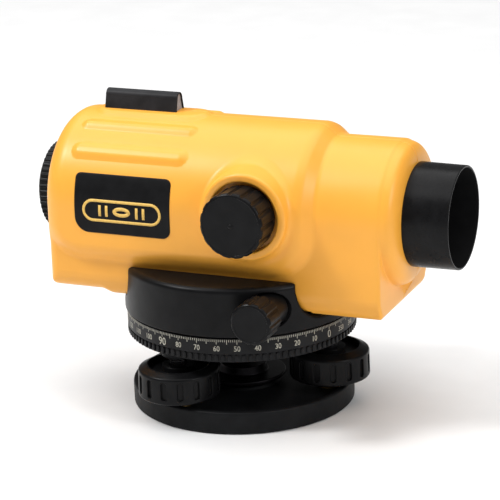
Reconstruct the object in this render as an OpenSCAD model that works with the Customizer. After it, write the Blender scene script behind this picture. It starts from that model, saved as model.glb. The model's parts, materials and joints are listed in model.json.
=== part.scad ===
// Automatic level: a self-levelling surveying telescope on a three-screw base.
// Origin: centre of the base plate's underside, on the vertical axis.
// +X points out of the objective, +Z is up, the focus knob is on the -Y side.
// All lengths are in millimetres.

/* [Base] */
// Radius of the round base plate
base_r = 52.5; // [50:0.5:56]
// Thickness of the base plate at its rim
base_h = 10.5; // [10:0.5:11]
// Radius of the 5/8 inch tripod thread, drawn as a plain bore
tripod_thread_r = 8.05; // [7.9:0.05:8.2]
// Distance of each foot screw from the vertical axis
foot_circle_r = 42; // [41:0.5:43]
// Bearing of the first foot screw from +X
first_foot_angle = 127.4; // [100:0.1:150]
// Radius of a foot screw's knob
foot_knob_r = 19; // [17:0.5:20]
// Grip slots around a foot screw's knob
foot_slots = 15; // [10:1:20]

/* [Horizontal circle and alidade] */
// Outer radius of the graduated circle
circle_r = 54; // [53:0.5:56]
// Grip ribs around the lower edge of the circle
circle_ribs = 90; // [60:6:120]
// Outer radius of the alidade base above the circle
alidade_r = 54.8; // [54:0.1:57]
// Height of the two side cheeks of the alidade base
cheek_top_z = 70.6; // [69:0.1:72]
// Radius of the vertical spindle
spindle_r = 9; // [8.5:0.5:9.5]

/* [Telescope housing] */
// Height of the optical axis above the base plate's underside
axis_z = 97; // [96:0.5:99]
// Radius of the thick rear drum
drum_r = 39.1; // [38:0.1:40]
// Radius of the front drum, and half the width of the lower block
body_r = 33.8; // [33:0.1:34.5]
// Rear end of the housing
rear_x = -84; // [-88:0.5:-83]
// Flat front face of the lower block
front_x = 81; // [80:0.5:83]
// Wall thickness of the housing halves
wall = 2.5; // [2:0.1:3]

/* [Optics] */
// Front end of the lens hood
hood_end_x = 109.5; // [105:0.5:114]
// Outer radius of the lens hood
hood_r = 23.9; // [23.6:0.1:24.6]
// Inner radius of the telescope tube
tube_bore_r = 15; // [14.5:0.1:15.5]

/* [Controls] */
// Position of the focus knob along the telescope
focus_x = 20.3; // [19:0.1:22]
// Height of the focus knob
focus_z = 101.7; // [101:0.1:102.5]
// Radius of the focus knob
focus_knob_r = 15.2; // [14:0.1:15.5]
// Teeth on the focus pinion
pinion_teeth = 14; // [12:1:16]
// Tooth module of the focus pinion and rack
gear_module = 0.6; // [0.5:0.1:0.6]
// Distance of the fine-motion worm from the vertical axis
worm_x = 31; // [30.5:0.1:31.5]
// Height of the fine-motion worm
worm_z = 59.2; // [59:0.1:59.5]
// Radius of a fine-motion knob
tangent_knob_r = 9.8; // [9:0.1:10]
// Teeth on the worm wheel
wheel_teeth = 80; // [80:1:80]

/* [Hidden] */
$fn = 64;
gap = 0.05;                 // radial play of a running fit

// Base
foot_angles = [for (i = [0:2]) first_foot_angle + 120 * i];
dish_z = 8;                 // floor of the shallow dish in the base plate
bush_r = 14;                // outer radius of the tripod bush
ball_z = 8.5;               // centre of each foot screw's ball end
ball_r = 4;
cup_r = 6.5;
knob_z = [13.2, 28];        // underside and top of a foot screw's knob
screw_r = 4;                // foot screw spindle
screw_top_z = 40;

// Tribrach and circle
hub_r = 20;                 // journal that the circle turns on
hub_z = [26, 46.4];
bush_outer_r = spindle_r + 3;
nut_z = [31.5, 41];
nut_r = 6.2;
lobe_r = 7.6;               // lug around each foot screw's nut
arm_half = 7;
bush_screw_z = 29.4;
bush_screw_r = 1.5;
circle_z = [35.3, 46.9];
web_z = [43.5, 46.2];       // flat web of the circle

// Alidade base
deck_z = [47.5, 53.4];
cheek_y = body_r + 0.3;     // inner face of each cheek
spindle_z = [22, 62];
wheel_z = [57.6, 60.8];
worm_mean_r = 4.5;
worm_throw = 0.8;           // eccentricity that makes the worm's thread
worm_lead = 2 * PI * (worm_x - worm_mean_r) / wheel_teeth;
worm_turns = 5;
worm_shaft_r = 3;
worm_bearing_y = 20;        // middle of each bearing block
worm_bush_r = 4.5;
seat_y = 37;                // bottom of each fine-motion knob's seat
grip_y = [51.5, 62.5];      // grooved part of a fine-motion knob

// Housing
block_z = 53.6;             // underside of the housing's lower block
heel_x = -56;               // the heel behind this is a little higher
heel_z = 55.8;
pad_z = 75;                 // lower edge of the thick rear drum
dome_r = 11.1;              // rounding of the rear drum's end
heel_r = 5.2;               // rounding of the lower block's rear corners
band_z = 63;                // below this the lower block's sides lean inward
band_in = 4.7;
step_x = [43.5, 51];        // slope from the rear drum to the front drum
nose_r = 13;                // rounding of the front drum's end
nose_x = 78.5;
nose_end_x = 88.2;
boss_r = 20.1;              // collar around the focus knob
boss_y = -43.5;
recess_r = 16.4;
recess_y = -38.5;
pinion_shaft_r = 2.5;
pinion_bush_r = 5;
focus_grip_y = [44, 56];    // grooved part of the focus knob, outward from the axis
join_holes = [[-74, 66], [-56, 66], [57, 66], [73, 66]];
join_screw_r = 1.5;
join_head_r = 3;

// Sight and label
sight_x = [-64.5, -27.8];
sight_base_z = 137.2;
sight_top_z = 146;
label_x = [-65.5, -17.5];
label_z = [87, 114.2];
label_t = 0.4;

// Optics inside
cell_r = 22;
lens_r = 19;
tube_r = tube_bore_r + 2;
tube_x = [-23, 80];
slot_z = [91.5, 107.5];
pitch_r = pinion_teeth * gear_module / 2;
rack_pitch = PI * gear_module;
rack_z = focus_z - pitch_r; // pitch line of the rack
rack_y = [-18.2, -15.2];
carrier_x = [8, 32.6];

// Compensator
pendulum_x = -36;
pendulum_z = 114;

// Vial and mirror, on the left cheek
vial_at = [-8, 46.2];
vial_r = 7.2;
mirror_at = [4, 77];        // hinge of the mirror, in X and Z
mirror_y = [40.6, 52];
mirror_tilt = 45;

// Eyepiece
sleeve_r = 14;
sleeve_bore_r = 12;
reticle_r = 10;
dioptre_r = 21.1;

// ---------------------------------------------------------------- helpers

module rod_x(x0, x1, r, z = axis_z, y = 0)
    translate([x0, y, z]) rotate([0, 90, 0]) cylinder(r = r, h = x1 - x0);

module rod_y(y0, y1, r, x = 0, z = 0)
    translate([x, y0, z]) rotate([-90, 0, 0]) cylinder(r = r, h = y1 - y0);

module rod_z(z0, z1, r, x = 0, y = 0)
    translate([x, y, z0]) cylinder(r = r, h = z1 - z0);

module ring_x(x0, x1, outer, inner)
    difference() {
        rod_x(x0, x1, outer);
        rod_x(x0 - 1, x1 + 1, inner);
    }

module ring_z(z0, z1, outer, inner, x = 0, y = 0)
    difference() {
        rod_z(z0, z1, outer, x, y);
        rod_z(z0 - 1, z1 + 1, inner, x, y);
    }

module block(low, high)
    translate(low) cube(high - low);

// A slot with round ends, centred, along the first axis.
module stadium(length, width) {
    square([length - width, width], center = true);
    for (side = [-1, 1]) translate([side * (length - width) / 2, 0]) circle(d = width);
}

// A rectangle with round corners, given by opposite corners.
module round_rect(low, high, r) {
    translate(low + [r, 0]) square([high.x - low.x - 2 * r, high.y - low.y]);
    translate(low + [0, r]) square([high.x - low.x, high.y - low.y - 2 * r]);
    for (x = [low.x + r, high.x - r], y = [low.y + r, high.y - r])
        translate([x, y]) circle(r = r);
}

module at_feet()
    for (a = foot_angles) rotate(a) translate([foot_circle_r, 0, 0]) children();

// A knob's outline with scalloped sides, for extruding.
module fluted(r, count, flute_r, depth)
    difference() {
        circle(r = r);
        for (i = [0:count - 1])
            rotate(i * 360 / count) translate([r + flute_r - depth, 0]) circle(r = flute_r);
    }

// ---------------------------------------------------------------- base

module base_plate()
    color([0.12, 0.12, 0.14])
    difference() {
        rotate_extrude()
            polygon([
                [0, 0], [base_r - 1, 0], [base_r, 1], [base_r, base_h - 1], [base_r - 1, base_h],
                [base_r - 2.5, base_h], [base_r - 5, dish_z], [0, dish_z],
            ]);
        rod_z(-1, base_h, bush_r);
        at_feet() rod_z(ball_z - 5, base_h, cup_r);
    }

module tripod_bush()
    color("goldenrod")
    ring_z(0, dish_z + 1.2, bush_r, tripod_thread_r);

module foot_cups()
    color("goldenrod")
    at_feet() difference() {
        rod_z(ball_z - 5, ball_z, cup_r);
        translate([0, 0, ball_z]) sphere(r = ball_r + gap);
    }

// One foot screw's knob: dished top, slots around the side.
module foot_knob(i)
    color([0.15, 0.15, 0.16])
    rotate(foot_angles[i]) translate([foot_circle_r, 0, 0])
    difference() {
        rotate_extrude()
            polygon([
                [screw_r, knob_z[0]], [foot_knob_r - 1, knob_z[0]], [foot_knob_r, knob_z[0] + 1],
                [foot_knob_r - 0.2, knob_z[1] - 3], [foot_knob_r - 2.4, knob_z[1]],
                [foot_knob_r - 4, knob_z[1]], [foot_knob_r - 7, knob_z[1] - 3],
                [screw_r + 3.5, knob_z[1] - 3], [screw_r + 3.5, knob_z[1] - 0.6],
                [screw_r, knob_z[1] - 0.6],
            ]);
        for (k = [0:foot_slots - 1])
            rotate(k * 360 / foot_slots)
                translate([foot_knob_r - 1.4, 0, knob_z[0] + 6.4])
                    rotate([90, 0, 90]) linear_extrude(3) rotate(90) stadium(9, 2.6);
    }

module foot_spindle(i)
    color("silver")
    rotate(foot_angles[i]) translate([foot_circle_r, 0, 0]) {
        translate([0, 0, ball_z]) sphere(r = ball_r);
        rod_z(ball_z, knob_z[0] + 1, 2.6);
        rod_z(knob_z[0], screw_top_z, screw_r);
    }

// Leaf that keeps the instrument seated; it carries the first tilt.
module spring_plate()
    color("lightsteelblue") {
        ring_z(11.2, 13, 20, 5);
        ring_z(11.2, 17, 7, 5);
    }

// ---------------------------------------------------------------- tribrach

module tribrach()
    color([0.1, 0.1, 0.11])
    difference() {
        union() {
            rod_z(hub_z[0], nut_z[1], hub_r - 2.5);
            rod_z(nut_z[0] + 1.5, nut_z[1], 30);
            rod_z(nut_z[1] - 4, hub_z[1], hub_r);
            at_feet() rod_z(nut_z[0], nut_z[1], lobe_r);
            for (a = foot_angles)
                rotate(a) block([0, -arm_half, nut_z[0] + 1], [foot_circle_r, arm_half, nut_z[1] - 1.5]);
        }
        rod_z(hub_z[0] - 1, hub_z[1] + 1, bush_outer_r);
        at_feet() rod_z(nut_z[0] - 1, nut_z[1] + 1, nut_r);
        for (a = foot_angles)
            rotate(a + 60) rod_x(bush_outer_r, hub_r - 1, bush_screw_r, z = bush_screw_z);
    }

module spindle_bush()
    color("goldenrod")
    ring_z(hub_z[0], hub_z[1], bush_outer_r, spindle_r + gap);

module foot_nuts()
    color("goldenrod")
    at_feet() ring_z(nut_z[0], nut_z[1], nut_r, screw_r + 0.45);

// Washer that gives the circle its drag.
module wave_spring()
    color("silver")
    ring_z(nut_z[1], nut_z[1] + 0.8, hub_r + 7, hub_r);

// Radial screws that hold the spindle bush in the tribrach's hub.
module bush_screws()
    color("silver")
    for (a = foot_angles)
        rotate(a + 60) {
            rod_x(bush_outer_r, hub_r - 2.5, bush_screw_r, z = bush_screw_z);
            rod_x(hub_r - 2.5, hub_r - 1.1, bush_screw_r + 1.1, z = bush_screw_z);
        }

module horizontal_circle()
    color([0.13, 0.13, 0.14]) {
        rotate_extrude()
            polygon([
                [hub_r + gap, web_z[0]], [circle_r - 4, web_z[0]], [circle_r - 4, circle_z[0]],
                [circle_r - 0.8, circle_z[0]], [circle_r - 0.8, circle_z[0] + 4],
                [circle_r, circle_z[0] + 4], [circle_r, circle_z[1]], [circle_r - 5, circle_z[1]],
                [circle_r - 6, web_z[1]], [hub_r + gap, web_z[1]],
            ]);
        translate([0, 0, circle_z[0] + 0.4]) linear_extrude(3.2)
            difference() {
                fluted(circle_r, circle_ribs, 0.9, 0.6);
                circle(r = circle_r - 2);
            }
    }

// ---------------------------------------------------------------- alidade base

// Seat of a fine-motion knob in one cheek; side is -1 or 1.
module knob_seat(side)
    rod_y(min(side * seat_y, side * 60), max(side * seat_y, side * 60), tangent_knob_r - 0.9, worm_x, worm_z);

module alidade_base()
    color([0.11, 0.11, 0.12])
    difference() {
        union() {
            rod_z(deck_z[0], deck_z[1], alidade_r);
            intersection() {
                rotate_extrude()
                    polygon([
                        [0, deck_z[0]], [alidade_r, deck_z[0]], [alidade_r, cheek_top_z - 3],
                        [alidade_r - 3, cheek_top_z], [0, cheek_top_z],
                    ]);
                for (side = [-1, 1])
                    block([-60, min(side * cheek_y, side * 60), deck_z[0]],
                          [60, max(side * cheek_y, side * 60), 80]);
            }
            for (side = [-1, 1])
                block([worm_x - 5.5, side * worm_bearing_y - 3, deck_z[1] - 1],
                      [worm_x + 5.5, side * worm_bearing_y + 3, worm_z + 5]);
        }
        rod_z(deck_z[0] - 1, deck_z[0] + 3, alidade_r - 3.5);
        rod_z(deck_z[0] - 1, deck_z[1] + 1, spindle_r);
        for (side = [-1, 1]) knob_seat(side);
        rod_y(-40, 40, worm_bush_r, worm_x, worm_z);
        rod_z(cheek_top_z - 4, cheek_top_z + 1, vial_r, vial_at.x, vial_at.y);
    }

module vertical_spindle()
    color("silver") {
        rod_z(spindle_z[0], spindle_z[1], spindle_r);
        rod_z(deck_z[1], deck_z[1] + 2.4, 17);
    }

module spindle_nut()
    color("dimgray")
    ring_z(spindle_z[0], spindle_z[0] + 3.4, 13, spindle_r);

module worm_bushes()
    color("goldenrod")
    for (side = [-1, 1])
        difference() {
            rod_y(side * worm_bearing_y - 3, side * worm_bearing_y + 3, worm_bush_r, worm_x, worm_z);
            rod_y(side * worm_bearing_y - 4, side * worm_bearing_y + 4, worm_shaft_r + gap, worm_x, worm_z);
        }

// The worm: an off-centre circle twisted along the shaft makes the thread.
module worm_shaft()
    color("silver") {
        rod_y(-48, 48, worm_shaft_r, worm_x, worm_z);
        translate([worm_x, -worm_turns * worm_lead / 2, worm_z])
            rotate([-90, 0, 0])
                linear_extrude(worm_turns * worm_lead, twist = 360 * worm_turns,
                               slices = 14 * worm_turns, $fn = 20)
                    rotate(180 * worm_turns)
                        translate([worm_throw, 0]) circle(r = worm_mean_r, $fn = 20);
    }

module tangent_knob(side)
    color([0.14, 0.14, 0.15])
    translate([worm_x, 0, worm_z]) rotate([side * -90, 0, 0])
    difference() {
        union() {
            rod_z(seat_y + 1.5, grip_y[0], tangent_knob_r - 1.7);
            translate([0, 0, grip_y[0]]) linear_extrude(grip_y[1] - grip_y[0])
                fluted(tangent_knob_r, 12, 1.6, 0.8);
            translate([0, 0, grip_y[1]])
                cylinder(r1 = tangent_knob_r - 0.4, r2 = tangent_knob_r - 1, h = 1.5);
        }
        rod_z(38, 48, worm_shaft_r);
    }

module worm_wheel()
    color("goldenrod")
    difference() {
        union() {
            rod_z(wheel_z[0], wheel_z[1], worm_x - 5.7);
            rod_z(deck_z[1] + 2.7, wheel_z[1] + 1, 13);
            translate([0, 0, wheel_z[0]]) linear_extrude(wheel_z[1] - wheel_z[0])
                for (i = [0:wheel_teeth - 1])
                    rotate(i * 360 / wheel_teeth)
                        polygon([
                            [worm_x - 6, -0.55], [worm_x - 5.2, -0.42], [worm_x - 4.4, -0.18],
                            [worm_x - 4.4, 0.18], [worm_x - 5.2, 0.42], [worm_x - 6, 0.55],
                        ]);
        }
        rod_z(deck_z[1], wheel_z[1] + 2, spindle_r + gap);
    }

// ---------------------------------------------------------------- housing

// Half outlines, as [radius, x], shrunk by an inset.
module drum_outline(inset) {
    translate([0, rear_x + dome_r]) square([drum_r - inset, step_x[0] - rear_x - dome_r]);
    translate([0, rear_x + inset]) square([drum_r - dome_r, dome_r]);
    translate([drum_r - dome_r, rear_x + dome_r]) circle(r = dome_r - inset);
    polygon([
        [0, step_x[0] - 1], [drum_r - inset, step_x[0]],
        [body_r - inset - 1, step_x[1] + 1], [0, step_x[1] + 1],
    ]);
}

module body_outline(inset) {
    translate([0, rear_x + heel_r]) square([body_r - inset, front_x - inset - rear_x - heel_r]);
    translate([0, rear_x + 0.2 + inset]) square([body_r - heel_r, heel_r - inset]);
    translate([body_r - heel_r, rear_x + 0.2 + heel_r]) circle(r = heel_r - inset);
}

// Front view of the lower block: upright sides that lean inward near the bottom.
module block_section(inset) {
    side = body_r - inset;
    polygon([
        [-side, axis_z], [-side, band_z], [band_in - side, block_z + inset],
        [side - band_in, block_z + inset], [side, band_z], [side, axis_z],
    ]);
}

// The front drum, above the lower block.
module front_outline(inset)
    square([body_r - inset, front_x - inset]);

// The rounded end of the front drum, which stands out of the flat front face.
module nose_outline(inset)
    intersection() {
        union() {
            translate([body_r - nose_r, nose_x]) circle(r = nose_r - inset);
            translate([0, nose_x]) square([body_r - nose_r, nose_r - inset]);
        }
        translate([0, front_x - 4]) square([body_r - inset, nose_end_x - inset - front_x + 4]);
    }

// Spins a half outline about the optical axis, over the upper half or all round.
module spun(angle)
    translate([0, 0, axis_z]) rotate([0, 90, 0]) rotate(90)
        rotate_extrude(angle = angle, $fn = 96) children();

// Drops a half outline straight down from the optical axis.
module dropped(low_z)
    translate([0, 0, low_z]) linear_extrude(axis_z - low_z)
        for (flip = [0, 1]) mirror([0, flip]) mirror([1, -1]) children();

// Side view of the rear drum: rounded lower corners.
module drum_window() {
    corners = [[rear_x + 18, pad_z + 18, 18], [step_x[1] - 15, pad_z + 15, 15]];
    translate([rear_x - 5, corners[0].y]) square([step_x[1] + 10 - rear_x, 60]);
    translate([corners[0].x, pad_z]) square([corners[1].x - corners[0].x, 60]);
    for (c = corners) translate([c.x, c.y]) circle(r = c.z);
}

module housing_form(inset) {
    intersection() {
        union() {
            spun(180) drum_outline(inset);
            dropped(pad_z + inset) drum_outline(inset);
        }
        rotate([90, 0, 0]) linear_extrude(120, center = true) drum_window();
    }
    spun(180) front_outline(inset);
    intersection() {
        dropped(block_z + inset) body_outline(inset);
        translate([-100, 0, 0]) rotate([90, 0, 90]) linear_extrude(250) block_section(inset);
    }
    spun(360) nose_outline(inset);
}

// Raised pads along the top of the rear drum: [bearing from the top, width].
ribs = [[0, 20], [25.5, 7.4], [-25.5, 7.4], [48.3, 10], [-48.3, 10]];

module drum_ribs()
    for (r = ribs)
        intersection() {
            rod_x(-80, 0, drum_r + 1.5);
            translate([0, 0, axis_z]) rotate([r[0], 0, 0])
                translate([-41, 0, drum_r - 4]) linear_extrude(10) stadium(57, r[1]);
        }

module focus_boss() {
    rod_y(boss_y, -28, boss_r, focus_x, focus_z);
    translate([focus_x, -28, focus_z]) rotate([90, 0, 0])
        cylinder(r1 = boss_r + 6, r2 = boss_r, h = -28 - boss_y - 2);
}

module housing_shell()
    difference() {
        union() {
            housing_form(0);
            drum_ribs();
            focus_boss();
        }
        difference() {
            housing_form(wall);
            for (p = join_holes) rod_y(-40, 40, 4.5, p.x, p.y);
            block([-90, -60, 0], [heel_x, 60, heel_z + wall]);
        }
        block([-100, -60, block_z - 1], [heel_x, 60, heel_z]);
        block([-46, -29, 40], [46, 29, block_z + wall + 1]);
        rod_x(-90, -70, sleeve_r);
        rod_x(70, 120, cell_r);
        rod_y(-60, recess_y, recess_r, focus_x, focus_z);
        rod_y(-45, -20, pinion_bush_r, focus_x, focus_z);
        rod_y(-45, 45, worm_shaft_r + 2, worm_x, worm_z);
        for (p = join_holes) {
            rod_y(-26, 45, join_screw_r, p.x, p.y);
            rod_y(body_r - 3, 45, join_head_r + 0.2, p.x, p.y);
        }
    }

module right_housing()
    color([0.99, 0.77, 0.31])
    intersection() {
        housing_shell();
        block([-200, -100, 0], [200, 0, 200]);
    }

module left_housing()
    color([0.99, 0.77, 0.31])
    intersection() {
        housing_shell();
        block([-200, 0, 0], [200, 100, 200]);
    }

module housing_screws()
    color("dimgray")
    for (p = join_holes)
        difference() {
            union() {
                rod_y(-26, body_r - 3, join_screw_r, p.x, p.y);
                rod_y(body_r - 3, body_r - 1, join_head_r, p.x, p.y);
            }
            translate([p.x, body_r - 2, p.y]) rotate([-90, 0, 0]) cylinder(r = 1.4, h = 5, $fn = 6);
        }

module label_plate()
    color([0.13, 0.13, 0.13])
    intersection() {
        difference() {
            union() {
                rod_x(label_x[0] - 2, label_x[1] + 2, drum_r + label_t);
                block([label_x[0] - 2, -drum_r - label_t, pad_z], [label_x[1] + 2, 0, axis_z]);
            }
            rod_x(label_x[0] - 9, label_x[1] + 9, drum_r);
            block([label_x[0] - 9, -drum_r, pad_z - 9], [label_x[1] + 9, 9, axis_z]);
        }
        rotate([90, 0, 0]) linear_extrude(80)
            round_rect([label_x[0], label_z[0]], [label_x[1], label_z[1]], 3.5);
    }

// Outline of the open sight, seen from the front: sloping sides and a round top.
module sight_outline(inset) {
    foot = 4.6 - inset;
    crown = 2.6 - inset;
    polygon(concat(
        [[-foot, sight_base_z]],
        [for (a = [180:-12:0]) [crown * cos(a), sight_top_z - 2.6 + crown * sin(a)]],
        [[foot, sight_base_z]]
    ));
}

module extrude_x(x0, x1)
    translate([x0, 0, 0]) rotate([90, 0, 90]) linear_extrude(x1 - x0) children();

module sight_body()
    color([0.2, 0.2, 0.21])
    difference() {
        extrude_x(sight_x[0], sight_x[1]) sight_outline(0);
        extrude_x(sight_x[1] - 3, sight_x[1] + 1) sight_outline(0.9);
        rod_x(sight_x[0] - 1, sight_x[1], 1.6, z = sight_top_z - 4.4);
        rod_x(-80, 0, drum_r + 1.5);
    }

module sight_window()
    color([0.6, 0.62, 0.6])
    difference() {
        extrude_x(sight_x[1] - 2.8, sight_x[1] - 0.8) sight_outline(0.9);
        rod_x(-80, 0, drum_r + 1.5);
    }

// ---------------------------------------------------------------- telescope

module telescope_tube()
    color("silver")
    difference() {
        rod_x(tube_x[0], tube_x[1], tube_r);
        rod_x(tube_x[0] - 1, tube_x[1] + 1, tube_bore_r);
        block([focus_x - 26, -20, slot_z[0]], [focus_x + 26, -10, slot_z[1]]);
    }

module objective_cell()
    color([0.1, 0.1, 0.1]) {
        ring_x(tube_x[1] - 8, tube_x[1], cell_r, tube_r);
        ring_x(tube_x[1], tube_x[1] + 14, cell_r, lens_r);
    }

// A lens with two domed faces, its rear face at x.
module lens(x, r, thick, bulge)
    translate([x, 0, axis_z]) rotate([0, 90, 0]) rotate_extrude()
        intersection() {
            square([r, thick]);
            translate([0, thick - bulge]) circle(r = bulge, $fn = 360);
            translate([0, bulge]) circle(r = bulge, $fn = 360);
        }

module objective_lens()
    color([0.75, 0.85, 0.9])
    lens(tube_x[1] + 2, lens_r, 7, 70);

module retaining_ring()
    color([0.1, 0.1, 0.1])
    ring_x(tube_x[1] + 9.2, tube_x[1] + 11.4, lens_r, lens_r - 2.2);

module lens_hood()
    color([0.14, 0.14, 0.15])
    ring_x(nose_end_x, hood_end_x, hood_r, cell_r);

module reticle_cell()
    color("dimgray")
    ring_x(-66, -60, reticle_r, 5);

module reticle_glass()
    color([0.75, 0.85, 0.9])
    rod_x(-64, -62.5, 5);

module reticle_screws()
    color("silver")
    for (a = [0:90:270])
        translate([0, 0, axis_z]) rotate([a, 0, 0])
            translate([-63, 0, reticle_r]) cylinder(r = 1.1, h = sleeve_bore_r - 0.06 - reticle_r);

module eyepiece_sleeve()
    color([0.1, 0.1, 0.1])
    ring_x(-91, -58, sleeve_r, sleeve_bore_r);

module eyepiece_barrel()
    color([0.12, 0.12, 0.12])
    ring_x(-93.5, -72, sleeve_bore_r - gap, 7.5);

module eyepiece_lens()
    color([0.75, 0.85, 0.9]) {
        lens(-91, 7.5, 4, 25);
        lens(-80, 7.5, 3, 25);
    }

// Knurled ring that sets the eyepiece; it turns on the outside of the sleeve.
module dioptre_ring()
    color([0.11, 0.11, 0.11])
    difference() {
        union() {
            translate([-86.5, 0, axis_z]) rotate([0, -90, 0])
                linear_extrude(6.5) fluted(dioptre_r, 48, 0.9, 0.5);
            translate([0, 0, axis_z]) rotate([0, 90, 0]) rotate_extrude()
                polygon([
                    [0, -93], [dioptre_r - 0.5, -93], [dioptre_r - 1.5, -94.3],
                    [dioptre_r - 4, -96], [dioptre_r - 8, -97], [0, -97],
                ]);
        }
        rod_x(-95.3, -80, sleeve_r + gap);
        rod_x(-100, -80, 9);
    }

module compensator_frame()
    color("silver")
    difference() {
        block([pendulum_x - 16, -18, axis_z - 19], [pendulum_x + 13, 18, pendulum_z + 6]);
        block([pendulum_x - 14, -15, axis_z - 17], [pendulum_x + 11, 15, pendulum_z + 7]);
        rod_x(pendulum_x - 30, pendulum_x + 30, 10);
        rod_y(-19, 19, 1.2, pendulum_x, pendulum_z);
    }

// Cross pin that the pendulum hangs from.
module suspension_pin()
    color("silver")
    rod_y(-18, 18, 1.2, pendulum_x, pendulum_z);

module fixed_prism()
    color([0.75, 0.85, 0.9])
    translate([pendulum_x + 11, 0, 0]) rotate([90, 0, 0])
        linear_extrude(16, center = true)
            polygon([[-3.5, axis_z - 6], [0, axis_z + 6], [0, axis_z - 6]]);

module damper_magnet()
    color("dimgray")
    for (side = [-1, 1])
        block([pendulum_x - 4, side * 10 - 2.5, axis_z - 17],
              [pendulum_x + 4, side * 10 + 2.5, axis_z - 12.6]);

module pendulum_arm()
    color("goldenrod")
    difference() {
        union() {
            rod_y(-10, 10, 3, pendulum_x, pendulum_z);
            for (side = [-1, 1])
                block([pendulum_x - 2.5, side * 9 - 1, axis_z - 8],
                      [pendulum_x + 2.5, side * 9 + 1, pendulum_z]);
            block([pendulum_x - 2.5, -10, axis_z - 12], [pendulum_x + 2.5, 10, axis_z - 8]);
            block([pendulum_x - 2, -6, axis_z - 15.5], [pendulum_x + 2, 6, axis_z - 12]);
        }
        rod_y(-11, 11, 1.2 + gap, pendulum_x, pendulum_z);
    }

module moving_prism()
    color([0.75, 0.85, 0.9])
    translate([pendulum_x, 0, 0]) rotate([90, 0, 0])
        linear_extrude(15.9, center = true)
            polygon([[-7, axis_z - 8], [7, axis_z - 8], [0, axis_z + 6]]);

// ---------------------------------------------------------------- focusing

module focus_knob()
    color([0.14, 0.14, 0.15])
    translate([focus_x, 0, focus_z]) rotate([90, 0, 0])
    difference() {
        union() {
            rod_z(0.8 - recess_y, focus_grip_y[0], focus_knob_r - 1);
            translate([0, 0, focus_grip_y[0]]) linear_extrude(focus_grip_y[1] - focus_grip_y[0])
                fluted(focus_knob_r, 16, 3.4, 0.9);
            translate([0, 0, focus_grip_y[1]])
                cylinder(r1 = focus_knob_r - 0.4, r2 = focus_knob_r - 1, h = 1.5);
            rod_z(focus_grip_y[1] + 1.5, focus_grip_y[1] + 1.8, 1);
        }
        rod_z(39, 52, pinion_shaft_r);
    }

// Involute-like tooth: a trapezoid with the module's height and spacing.
module tooth(root, pitch, tip)
    polygon([[root, -0.62], [pitch, -0.4], [tip, -0.2], [tip, 0.2], [pitch, 0.4], [root, 0.62]]);

module focus_pinion()
    color("silver")
    translate([focus_x, 0, focus_z]) {
        rotate([90, 0, 0]) rod_z(-rack_y[1], 52, pinion_shaft_r);
        translate([0, rack_y[1], 0]) rotate([90, 0, 0]) linear_extrude(rack_y[1] - rack_y[0]) {
            circle(r = pitch_r - 1.2 * gear_module);
            for (i = [0:pinion_teeth - 1])
                rotate(-90 + i * 360 / pinion_teeth)
                    tooth(pitch_r - 1.4 * gear_module, pitch_r, pitch_r + 0.85 * gear_module);
        }
    }

module focus_bush()
    color("goldenrod")
    difference() {
        rod_y(recess_y, -22, pinion_bush_r, focus_x, focus_z);
        rod_y(recess_y - 1, -21, pinion_shaft_r + gap, focus_x, focus_z);
    }

module focus_carrier()
    color([0.3, 0.3, 0.32])
    ring_x(carrier_x[0], carrier_x[1], tube_bore_r - gap, 12);

module focus_rack()
    color("goldenrod")
    difference() {
        translate([0, rack_y[1], 0]) rotate([90, 0, 0]) linear_extrude(rack_y[1] - rack_y[0])
            difference() {
                translate([carrier_x[0], rack_z - 4.5])
                    square([carrier_x[1] - carrier_x[0], 4.5 + 0.85 * gear_module]);
                for (i = [-9:9])
                    translate([focus_x + i * rack_pitch, rack_z])
                        polygon([
                            [-0.38, -0.75], [0.38, -0.75], [0.52, 0], [0.86, 0.6],
                            [-0.86, 0.6], [-0.52, 0],
                        ]);
            }
        rod_x(0, 60, tube_bore_r - gap);
    }

module focus_lens()
    color([0.75, 0.85, 0.9])
    lens(18, 12, 4, 45);

// ---------------------------------------------------------------- vial and mirror

module vial_cell()
    color([0.12, 0.12, 0.12])
    ring_z(cheek_top_z - 4, cheek_top_z + 1.5, vial_r, 5.4, vial_at.x, vial_at.y);

module vial_glass()
    color([0.8, 0.9, 0.6])
    intersection() {
        rod_z(cheek_top_z - 4, cheek_top_z + 1.2, 5.4, vial_at.x, vial_at.y);
        translate([vial_at.x, vial_at.y, cheek_top_z - 18.8]) sphere(r = 20, $fn = 96);
    }

module vial_screws()
    color("silver")
    for (a = [0:120:240])
        translate([vial_at.x, vial_at.y, 0]) rotate(a)
            rod_z(cheek_top_z + 1.5, cheek_top_z + 2, 0.7, 6.3, 0);

// Two uprights that hold the mirror's hinge above the vial.
module mirror_bracket()
    color([0.12, 0.12, 0.12])
    difference() {
        union() {
            for (y = [mirror_y[0] - 0.4, mirror_y[1] - 1])
                block([mirror_at.x - 2, y, cheek_top_z], [mirror_at.x + 3, y + 1.4, mirror_at[1] + 2]);
            block([mirror_at.x - 2, mirror_y[0] - 0.4, cheek_top_z],
                  [mirror_at.x + 3, mirror_y[1] + 0.4, cheek_top_z + 1.2]);
        }
        rod_y(mirror_y[0] - 2, mirror_y[1] + 2, 0.8 + gap, mirror_at.x, mirror_at[1]);
    }

module in_mirror_frame()
    translate([mirror_at.x, 0, mirror_at[1]]) rotate([0, mirror_tilt, 0]) children();

module mirror_frame()
    color([0.12, 0.12, 0.12])
    in_mirror_frame() difference() {
        union() {
            block([-15, mirror_y[0] + 1.4, -1], [-1.4, mirror_y[1] - 1.4, 1]);
            block([-2, mirror_y[0] + 1.4, -1.2], [1, mirror_y[1] - 1.4, 1.2]);
            rod_y(mirror_y[0], mirror_y[1], 0.8);
        }
        block([-14, mirror_y[0] + 2.2, -2], [-2.6, mirror_y[1] - 2.2, -0.4]);
    }

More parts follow.
